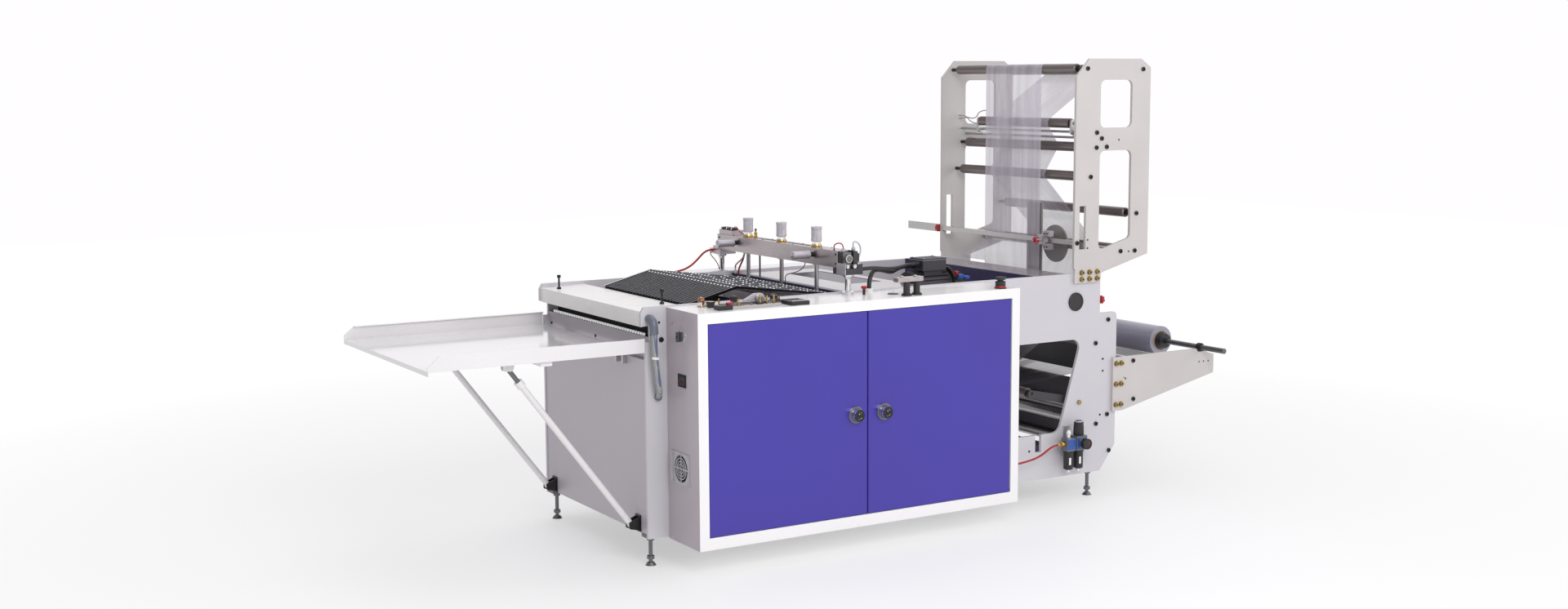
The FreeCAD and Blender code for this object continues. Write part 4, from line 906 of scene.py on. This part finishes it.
def make_belts():
    """Bevelled belts laid over the CAD ribs, with painted highlight lines along their edges, and
    rivets.
    """
    section = [(0.0004, 0.0), (0.0004, 0.0013), (0.0014, 0.0022), (0.0136, 0.0022), (0.0146, 0.0013),
        (0.0146, 0.0)]
    edge = [(0, 0.0018), (0, 0.0026), (0.0012, 0.0026), (0.0012, 0.0018)]
    belts, edges = bmesh.new(), bmesh.new()
    for k in range(BELT_COUNT):
        y = BELT_START + BELT_PITCH * k
        add_strip(belts, y, section)
        # light lines along both edges of each belt: painted highlights
        for dy in (0.0011, 0.0127):
            add_strip(edges, y + dy, edge)
    finish_mesh("belt_strips", belts, "belt_top")
    finish_mesh("belt_edge_highlights", edges, "belt_edge_highlight")
    rivets = []
    rng = random.Random(11)
    head = [(0, 0.0042), (0.0012, 0.004), (0.0023, 0.0027), (0.0026, 0.0006)]
    for k in range(BELT_COUNT):
        y = BELT_START + BELT_PITCH * k + 0.0075
        for x in (-0.572, -0.538, -0.47, -0.4, -0.33, -0.26, -0.186):
            if -0.5 < x < -0.2 and rng.random() < 0.3:
                continue
            lean = 0.25 if x < CREST_X else -0.13
            axis = (-math.sin(lean), 0, math.cos(lean))
            rivets.append(((x, y, belt_height(x) + 0.0018), axis, head))
    turned_set("belt_rivets", rivets, "rivet", steps=10)


def make_ledge():
    """Dark slot above the tray with its row of white pins; the slot's dark strip and baffle are painted
    shade, and the pins glow faintly as painted light.
    """
    count, pitch, start = 38, 0.02, -0.371
    pins = [((-0.9038, y - 0.0042, 0.7958), (-0.8975, y + 0.0042, 0.805))
        for y in (start + pitch * k for k in range(count))]
    boxes("slot_pins", pins, "pin", bevel=0.001)
    # dark strip on the ledge and dark baffle behind it: painted shade in the slot
    boxes("slot_shade_strip", [((-0.9034, -0.408, 0.7951), (-0.8725, 0.408, 0.7958))], "dark", bevel=0.0002)
    boxes("slot_shade_baffle", [((-0.87, -0.408, 0.7951), (-0.868, 0.408, 0.878))], "dark", bevel=0.0003)
    items = [((-0.904, y, z), OUTFEED, rounded(0.0055, 0.003, 0.0012)) for y,
        z in ((0.39, 0.753), (0.007, 0.75), (-0.372, 0.748))]
    turned_set("ledge_screws", items, "oxide", steps=18)


# ---- deck controls ----------------------------------------------------------------------------

DECK_Z = 0.895


def make_deck():
    """Lamp, caps, pins and small blocks of the control strip on the cabinet deck."""
    z = DECK_Z
    dome = [(0, 0.0118), (0.004, 0.0124), (0.009, 0.0118), (0.014, 0.0092), (0.017, 0.005)]
    lathe("amber_lamp", (-0.741, -0.487, z + 0.0158), UP, dome, "amber", steps=36)
    lathe("lamp_collar", (-0.741, -0.487, z), UP, rounded(0.0135, 0.0045, 0.0015), "brass", steps=36)
    cap = [(0, 0.0118), (0.001, 0.0136), (0.009, 0.0136), (0.012, 0.0112), (0.0135, 0.006)]
    turned_set("black_caps", [((-0.635, -0.523, z + 0.0215), UP, cap), ((-0.444, -0.466, z + 0.01), UP,
        cap)], "black", steps=40, flutes=20, depth=0.0009)
    turned_set("cap_collars", [((-0.635, -0.523, z), UP, rounded(0.0155, 0.006, 0.0012)),
        ((-0.444, -0.466, z), UP, rounded(0.013, 0.01, 0.002)), ((-0.709, -0.482, z + 0.013), UP,
        rounded(0.0155, 0.003, 0.001))], "steel", steps=32)
    lathe("cup_rim", (-0.723, -0.521, z + 0.015), UP, [(0, 0.0132), (0.0005, 0.015), (0.005, 0.015),
        (0.0058, 0.014), (0.0052, 0.012)], "black", steps=40)
    lathe("cup_face", (-0.723, -0.521, z + 0.02), UP, rounded(0.012, 0.0012, 0.0004), "brass", steps=32)
    boxes("strip_blocks", [((-0.742, -0.612, z), (-0.688, -0.573, z + 0.015)),
        ((-0.588, -0.604, z + 0.008), (-0.566, -0.596, z + 0.016)), ((-0.56, -0.566, z),
        (-0.528, -0.548, z + 0.013))], "black", bevel=0.0014)
    lathe("red_cap", (-0.692, -0.592, z + 0.015), UP, [(0, 0.0105), (0.001, 0.0118), (0.006, 0.0118),
        (0.008, 0.01)], "red", steps=32)
    boxes("strip_base", [((-0.64, -0.572, z), (-0.402, -0.47, z + 0.003))], "dull_steel",
        bevel=0.0006)
    boxes("strip_rail", [((-0.69, -0.6135, z), (-0.5, -0.61, z + 0.011))], "steel", bevel=0.0008)
    boxes("relay_rails", [((-0.466, -0.626, z + 0.013), (-0.402, -0.622, z + 0.0165)),
        ((-0.466, -0.564, z + 0.013), (-0.402, -0.56, z + 0.0165))], "steel", bevel=0.0006)
    screws = [((x, y, z + 0.008), UP, rounded(0.0042, 0.0034, 0.001)) for x in (-0.64, -0.6, -0.512)
        for y in (-0.604, -0.582)]
    turned_set("strip_screws", screws, "zinc", steps=16)
    pins = [((x, y, z), UP, [(0, 0.0032), (0.015, 0.0032), (0.0155, 0.0024), (0.021, 0.0024),
        (0.022, 0.0012)]) for x, y in ((-0.666, -0.474), (-0.486, -0.474), (-0.458, -0.528))]
    turned_set("strip_pins", pins, "brass", steps=16)
    lathe("strip_button", (-0.511, -0.466, z + 0.003), UP, rounded(0.007, 0.006, 0.0015), "red",
        steps=24)
    lathe("lever_wheel", (-0.534, -0.5215, z + 0.021), FRONT, rounded(0.015, 0.006, 0.0015), "steel",
        steps=40)
    lathe("lever_hub", (-0.534, -0.5275, z + 0.021), FRONT, rounded(0.005, 0.003, 0.001), "oxide",
        steps=24)
    wires = [("strip_wire_a", [(-0.69, -0.573, z + 0.01), (-0.678, -0.568, z + 0.018),
        (-0.664, -0.562, z + 0.022), (-0.652, -0.552, z + 0.018), (-0.644, -0.54, z + 0.012),
        (-0.64, -0.533, z + 0.01)], "red_hose", 0.07), ("strip_wire_b",
        [(-0.528, -0.557, z + 0.007), (-0.514, -0.558, z + 0.016), (-0.5, -0.562, z + 0.022),
        (-0.488, -0.568, z + 0.018), (-0.476, -0.572, z + 0.012), (-0.47, -0.574, z + 0.01)], "rubber",
        0.066),]
    for name, route, look, length in wires:
        cord_piece(name, route, 0.0015, look, "frame")
    turned_set("pedestal_flanges", [((x, y, z), UP, rounded(0.0195, 0.0045, 0.0012))
        for x, y in ((0.019, -0.611), (0.066, -0.606))], "black", steps=32)
    turned_set("pedestal_bolts", [((x, y, z + 0.066), UP, rounded(0.007, 0.005, 0.0012))
        for x, y in ((0.0, -0.608), (0.058, -0.608))], "steel", steps=24)
    lathe("deck_plug", (0.006, -0.545, z), UP, rounded(0.02, 0.0022, 0.001), "black", steps=32)
    handle = [((-0.0955, -0.519, z + 0.0235), (-0.0905, -0.495, z + 0.0295)),
        ((-0.105, -0.5095, z + 0.0235), (-0.081, -0.5045, z + 0.0295))]
    boxes("valve_handle", handle, "red", bevel=0.0015)
    lathe("stop_ring", (0.432, -0.619, z + 0.0035), UP, [(0, 0.0202), (0.0045, 0.0202),
        (0.0055, 0.0196)], "red", steps=40)
    lathe("stop_flange", (0.432, -0.619, z), UP, rounded(0.0225, 0.0034, 0.001), "oxide", steps=40)
    hood = [((-0.894, 0.34, 0.932), UP, rounded(0.007, 0.006, 0.002)), ((-0.789, -0.29, 0.935), UP,
        rounded(0.007, 0.006, 0.002))]
    turned_set("hood_knobs", hood, "black", steps=32, flutes=16, depth=0.0006)


def make_motor():
    bolts = [((x, y, 0.978), UP, rounded(0.0038, 0.0028, 0.001)) for x in (0.343, 0.437)
        for y in (-0.262, -0.188)]
    turned_set("terminal_screws", bolts, "steel", steps=16)
    boxes("terminal_lid", [((0.3335, -0.2715, 0.97), (0.4465, -0.1785, 0.9735))], "grey_plastic",
        bevel=0.0015)
    glands = [(0, 0.0115), (0.008, 0.0115), (0.009, 0.01), (0.016, 0.0092)]
    turned_set("terminal_glands", [((0.3365, -0.246, 0.958), OUTFEED, glands),
        ((0.3365, -0.204, 0.948), OUTFEED, glands)], "black", steps=6)
    boxes("motor_blue_connector", [((0.474, -0.312, 0.9), (0.5, -0.292, 0.914)),
        ((0.508, -0.306, 0.894), (0.53, -0.286, 0.906))], "blue", bevel=0.0015)
    lathe("motor_red_valve", (0.47, -0.3, 0.914), UP, rounded(0.008, 0.014, 0.002), "red", steps=24)
    rim = [(0, 0.04), (0.001, 0.0445), (0.004, 0.0445), (0.005, 0.0425), (0.005, 0.012), (0.011, 0.01),
        (0.012, 0.004)]
    lathe("gear_end_cap", (0.53, -0.225, 0.872), INFEED, rim, "cast", steps=48)
    studs = []
    for k in range(6):
        a = math.radians(60 * k + 20)
        studs.append(((0.4838, -0.225 + 0.06 * math.cos(a), 0.872 + 0.06 * math.sin(a)), INFEED,
            rounded(0.005, 0.0045, 0.0012)))
    turned_set("flange_bolts", studs, "steel", steps=6)
    # dark bars on the cowl for its grille openings: painted shade
    louvres = [((0.29, -0.262 + 0.008 * k, 0.835), (0.2916, -0.258 + 0.008 * k, 0.909))
        for k in range(9)]
    boxes("cowl_grille_shade", louvres, "dark", bevel=0.0002)


# ---- air unit, cabinet end and doors ------------------------------------------------------------

def make_air_unit():
    boxes("air_label", [((0.919, -0.4952, 0.218), (0.93, -0.4938, 0.26)),
        ((0.875, -0.4932, 0.219), (0.909, -0.4918, 0.257))], "blue", bevel=0.0004)
    bowl = [(0, 0.012), (0.004, 0.0172), (0.01, 0.019), (0.0665, 0.019), (0.068, 0.0208),
        (0.0755, 0.0208), (0.0765, 0.0195)]
    turned_set("air_bowls", [((x, -0.472, 0.136), UP, bowl) for x in (0.892, 0.942)], "black", steps=48)
    boxes("bowl_windows", [((x - 0.0105, -0.4912, 0.158), (x - 0.0015, -0.4885, 0.186))
        for x in (0.892, 0.942)], "white_plastic", bevel=0.0006)
    turned_set("bowl_drains", [((x, -0.472, 0.1265), UP, rounded(0.0062, 0.01, 0.001))
        for x in (0.892, 0.942)], "chrome", steps=24)
    lathe("air_gauge_face", (0.946, -0.5222, 0.24), FRONT, rounded(0.0175, 0.0012, 0.0005), "black",
        slot="blue_body", steps=48)
    rim = [(0, 0.0212), (0.003, 0.0212), (0.0042, 0.02), (0.0042, 0.0178), (0.0008, 0.0175)]
    lathe("air_gauge_rim", (0.946, -0.5205, 0.24), FRONT, rim, "black", steps=48)
    needle = [(0.944, 0.2385), (0.948, 0.2385), (0.956, 0.2515), (0.9552, 0.252)]
    plate("air_gauge_needle", needle, "y", -0.5246, -0.5236, "red", bevel=0.0)
    fitting = [(0, 0.007), (0.006, 0.007), (0.007, 0.0056), (0.016, 0.0056)]
    lathe("hose_fitting", (0.8525, -0.472, 0.24), OUTFEED, fitting, "brass", steps=6)
    lathe("cover_hose_fitting", (0.4992, -0.476, 0.19), INFEED, fitting, "brass", steps=6)
    dome = [(0, 0.0098), (0.003, 0.0098), (0.008, 0.0088), (0.013, 0.006), (0.015, 0.0022)]
    lathe("sight_dome", (0.892, -0.472, 0.2785), UP, dome, "white_plastic", steps=32)
    knob = [(0, 0.0195), (0.002, 0.0205), (0.03, 0.02), (0.046, 0.0188), (0.051, 0.017)]
    lathe("regulator_grip", (0.942, -0.472, 0.2687), UP, knob, "black", "regulator_knob", steps=96,
        flutes=24, depth=0.0011)
    lathe("regulator_top", (0.942, -0.472, 0.3196), UP, rounded(0.015, 0.0062, 0.0018), "pale",
        "regulator_knob", steps=40)


def star_profile(name, origin, axis, radius, thick, look, body="frame"):
    return lathe(name, origin, axis, [(0, radius * 0.8), (0.002, radius), (thick - 0.002, radius),
        (thick, radius * 0.8), (thick + 0.002, radius * 0.45)], look, body, steps=60, flutes=6,
        depth=radius * 0.22)


def make_frame_trim():
    star_profile("red_star_knob", (1.085, -0.421, 0.788), INFEED, 0.0165, 0.014, "red")
    lathe("star_stem", (1.0795, -0.421, 0.788), INFEED, rounded(0.005, 0.007, 0.001), "steel", steps=20)
    star_profile("sensor_star", (0.9085, -0.244, 1.021), OUTFEED, 0.0175, 0.013, "red", "edge_sensor")
    star_profile("ruler_star", (0.9355, 0.452, 1.02), OUTFEED, 0.016, 0.012, "red")
    boxes("sensor_faces", [((0.919, y, z), (0.9241, y + 0.015, z + 0.02)) for y in (-0.2995, -0.282)
        for z in (0.985, 1.037)], "beam", "edge_sensor", bevel=0.001)
    eyes = [((0.9192, y, z), OUTFEED, rounded(0.004, 0.0012, 0.0005)) for y in (-0.292, -0.2745)
        for z in (0.995, 1.047)]
    turned_set("sensor_screws", eyes, "oxide", "edge_sensor", steps=16)
    cap = [(0, 0.0362), (0.0045, 0.0362), (0.006, 0.0345), (0.006, 0.029), (0.0046, 0.028)]
    lathe("round_cap", (0.955, -0.427, 0.789), FRONT, cap, "black", steps=56)
    small = []
    for x, z in ((1.213, 0.974), (1.152, 1.416), (1.21, 0.464), (1.0, 1.03), (1.0, 0.998)):
        small.append(((x, -0.4388, z), FRONT, rounded(0.0034, 0.0022, 0.0008)))
    for x, z in ((1.099, 0.551), (1.1, 0.503), (1.089, 0.327), (0.669, 0.757), (0.732, 0.218),
            (-0.902, 0.845), (-0.872, 0.845), (-0.902, 0.806)):
        small.append(((x, -0.4268, z), FRONT, rounded(0.0042, 0.0022, 0.0008)))
    turned_set("plate_small_screws", small, "oxide", steps=16)
    dark = [((x, -0.4392, 0.497), FRONT, rounded(0.0031, 0.0006, 0.0002)) for x in (1.609, 1.634, 1.66)]
    turned_set("arm_hole_shade", dark, "dark", slot="black_oxide", steps=20)
    grids = (((0.973, 1.012, 1.051), (0.877, 0.903)), ((1.16, 1.186), (0.362, 0.445, 0.528)))
    sockets = [((x, -0.4441, z), FRONT, [(0, 0.0037), (0.0004, 0.0037)]) for xs, zs in grids
        for x in xs for z in zs]
    turned_set("bolt_sockets", sockets, "oxide", steps=6)
    low = [(1.01, 0.274, 1.47), (1.016, 0.3, 1.47), (1.022, 0.326, 1.4715), (1.022, 0.352, 1.48),
        (1.022, 0.368, 1.491), (1.022, 0.392, 1.49), (1.022, 0.42, 1.488), (1.022, 0.4265, 1.488)]
    high = [(1.022, 0.4265, 1.5), (1.022, 0.395, 1.5), (1.022, 0.36, 1.492), (1.022, 0.325, 1.49),
        (1.022, 0.304, 1.498), (1.022, 0.288, 1.514), (1.022, 0.262, 1.522), (1.022, 0.236, 1.524)]
    bent_rods("guide_hooks", [low, high], 0.0023, "steel")


def make_rollers():
    """Dark end rings and journal collars on each web roller."""
    rollers = {"top_idler_left": (0.987, 1.693, 0.382), "top_idler_right": (1.271, 1.69, 0.382),
        "tower_idler_upper": (1.037, 1.388, 0.382), "tower_idler_middle": (1.01, 1.275, 0.382),
        "tower_idler_lower": (1.249, 1.124, 0.382), "tower_idler_base": (1.244, 0.976, 0.382),
        "base_idler": (1.123, 0.707, 0.39), "dancer_roller": (0.76, 0.44, 0.38),}
    ring = [(0, 0.0086), (0.001, 0.0125), (0.0022, 0.0125), (0.003, 0.0086)]
    for name, (x, z, half) in rollers.items():
        turned_set(name + "_end_rings", [((x, side * half, z), (0, side, 0), ring) for side in (-1, 1)],
            "oxide", name, steps=32)
        region(name, "oxide", (x - 0.0078, half + 0.0004, z - 0.0078), (x + 0.0078, 1, z + 0.0078))
        region(name, "oxide", (x - 0.0078, -1, z - 0.0078), (x + 0.0078, -half - 0.0004, z + 0.0078))
    core = [(0, 0.042), (0.0008, 0.0428), (0.0016, 0.042)]
    turned_set("roll_core", [((1.617, -0.2029, 0.556), FRONT, core), ((1.617, 0.1879, 0.556), REAR,
        core)], "board", "unwind_reel", steps=48)


def make_base_shade_sheets():
    """Dark sheets on the tie bars across the open end of the base: painted shade for the dark inside of
    the base.
    """
    boxes("base_shade_sheets", [((1.1575, -0.4135, 0.165), (1.159, 0.4135, 0.436)),
        ((1.1575, -0.4135, 0.474), (1.159, 0.4135, 0.7))], "guard", bevel=0.0004)


def make_cabinet_trim():
    rim = [(0, 0.0215), (0.0015, 0.0222), (0.004, 0.0222), (0.0048, 0.0212)]
    dish = rounded(0.0126, 0.0006, 0.0002)
    for name, x in KNOBS:
        body = "door_knob_" + name
        lathe("knob_facets_" + name, (x, -0.66, 0.497), FRONT, [(0, 0.0214), (0.0015, 0.0226),
            (0.0125, 0.0226), (0.015, 0.0212)], "chrome", body, steps=72, flutes=12, depth=0.0012)
        lathe("knob_flange_ring_" + name, (x, -0.655, 0.497), FRONT, [(0, 0.0302), (0.0012, 0.03),
            (0.0022, 0.0285), (0.0022, 0.0235)], "dark_steel", body, slot="chrome", steps=56)
        lathe("knob_dish_" + name, (x, -0.6751, 0.497), FRONT, dish, "oxide", body, steps=40)
        lathe("knob_index_" + name, (x, -0.6757, 0.503), FRONT, rounded(0.0022, 0.0004, 0.0001),
            "steel", body, steps=20)
    boxes("rocker_bezel", [((-0.847, -0.5655, 0.676), (-0.8438, -0.5105, 0.68)),
        ((-0.847, -0.5655, 0.636), (-0.8438, -0.5105, 0.64)), ((-0.847, -0.5655, 0.64),
        (-0.8438, -0.5622, 0.676)), ((-0.847, -0.5138, 0.64), (-0.8438, -0.5105, 0.676))], "black",
        bevel=0.0006)
    boxes("rocker_mark", [((-0.8478, -0.53, 0.643), (-0.8474, -0.5262, 0.656))], "red", "power_rocker",
        bevel=0.0)
    lathe("selector_ring", (-0.8438, -0.541, 0.808), OUTFEED, rim, "chrome", steps=40)
    lathe("selector_core", (-0.8655, -0.541, 0.808), OUTFEED, rounded(0.0052, 0.0008, 0.0003), "oxide",
        "end_selector", steps=24)
    dots = [((-0.8438, y, z), OUTFEED, rounded(0.003, 0.0016, 0.0006)) for y,
        z in ((-0.512, 0.7), (-0.54, 0.616), (-0.538, 0.7), (-0.472, 0.846), (-0.472, 0.3),
        (-0.59, 0.306))]
    turned_set("end_small_screws", dots, "steel", steps=16)
    fan_bolts = [((-0.8478, -0.527 + dy, 0.356 + dz), OUTFEED, rounded(0.0034, 0.0022, 0.0008))
        for dy in (-0.046, 0.046) for dz in (-0.046, 0.046)]
    turned_set("fan_screws", fan_bolts, "steel", steps=16)
    elbow = [(0, 0.0125), (0.012, 0.0125), (0.0135, 0.0115)]
    bent_rods("conduit_elbow", [[(-0.911, -0.4275, 0.861), (-0.911, -0.443, 0.861),
        (-0.9108, -0.4565, 0.854), (-0.9102, -0.4625, 0.841), (-0.909, -0.463, 0.826),
        (-0.9085, -0.4625, 0.812)]], 0.0142, "slate", steps=32)
    turned_set("conduit_collars", [((-0.911, -0.4262, 0.861), FRONT, elbow),
        ((-0.881, -0.4262, 0.591), FRONT, elbow)], "slate", steps=36)
    tie = [(0, 0.0118), (0.001, 0.0128), (0.007, 0.0128), (0.008, 0.0118)]
    lathe("conduit_tie", (-0.9038, -0.4605, 0.7255), (0.09, 0.0, 0.99), tie, "white_plastic", steps=36)
    cover = [((x, 0.58, z), REAR, rounded(0.0045, 0.0026, 0.001)) for x in (-0.32, 0.078, 0.476)
        for z in (0.13, 0.5, 0.87)]
    turned_set("rear_cover_screws", cover, "oxide", steps=18)
    slots = [((x + 0.004, 0.5762, (181.5 + 24 * k) / 1000), (x + 0.056, 0.577,
        (186.5 + 24 * k) / 1000)) for x in (-0.06, 0.12) for k in range(8)]
    boxes("vent_shade", slots, "dark", bevel=0.0)


make_camera()
make_light()
make_materials()
make_cords()
dress_nodes()
paint_regions()
make_film()
make_head()
make_belts()
make_ledge()
make_deck()
make_motor()
make_air_unit()
make_frame_trim()
make_rollers()
make_cabinet_trim()
make_base_shade_sheets()
make_floor()
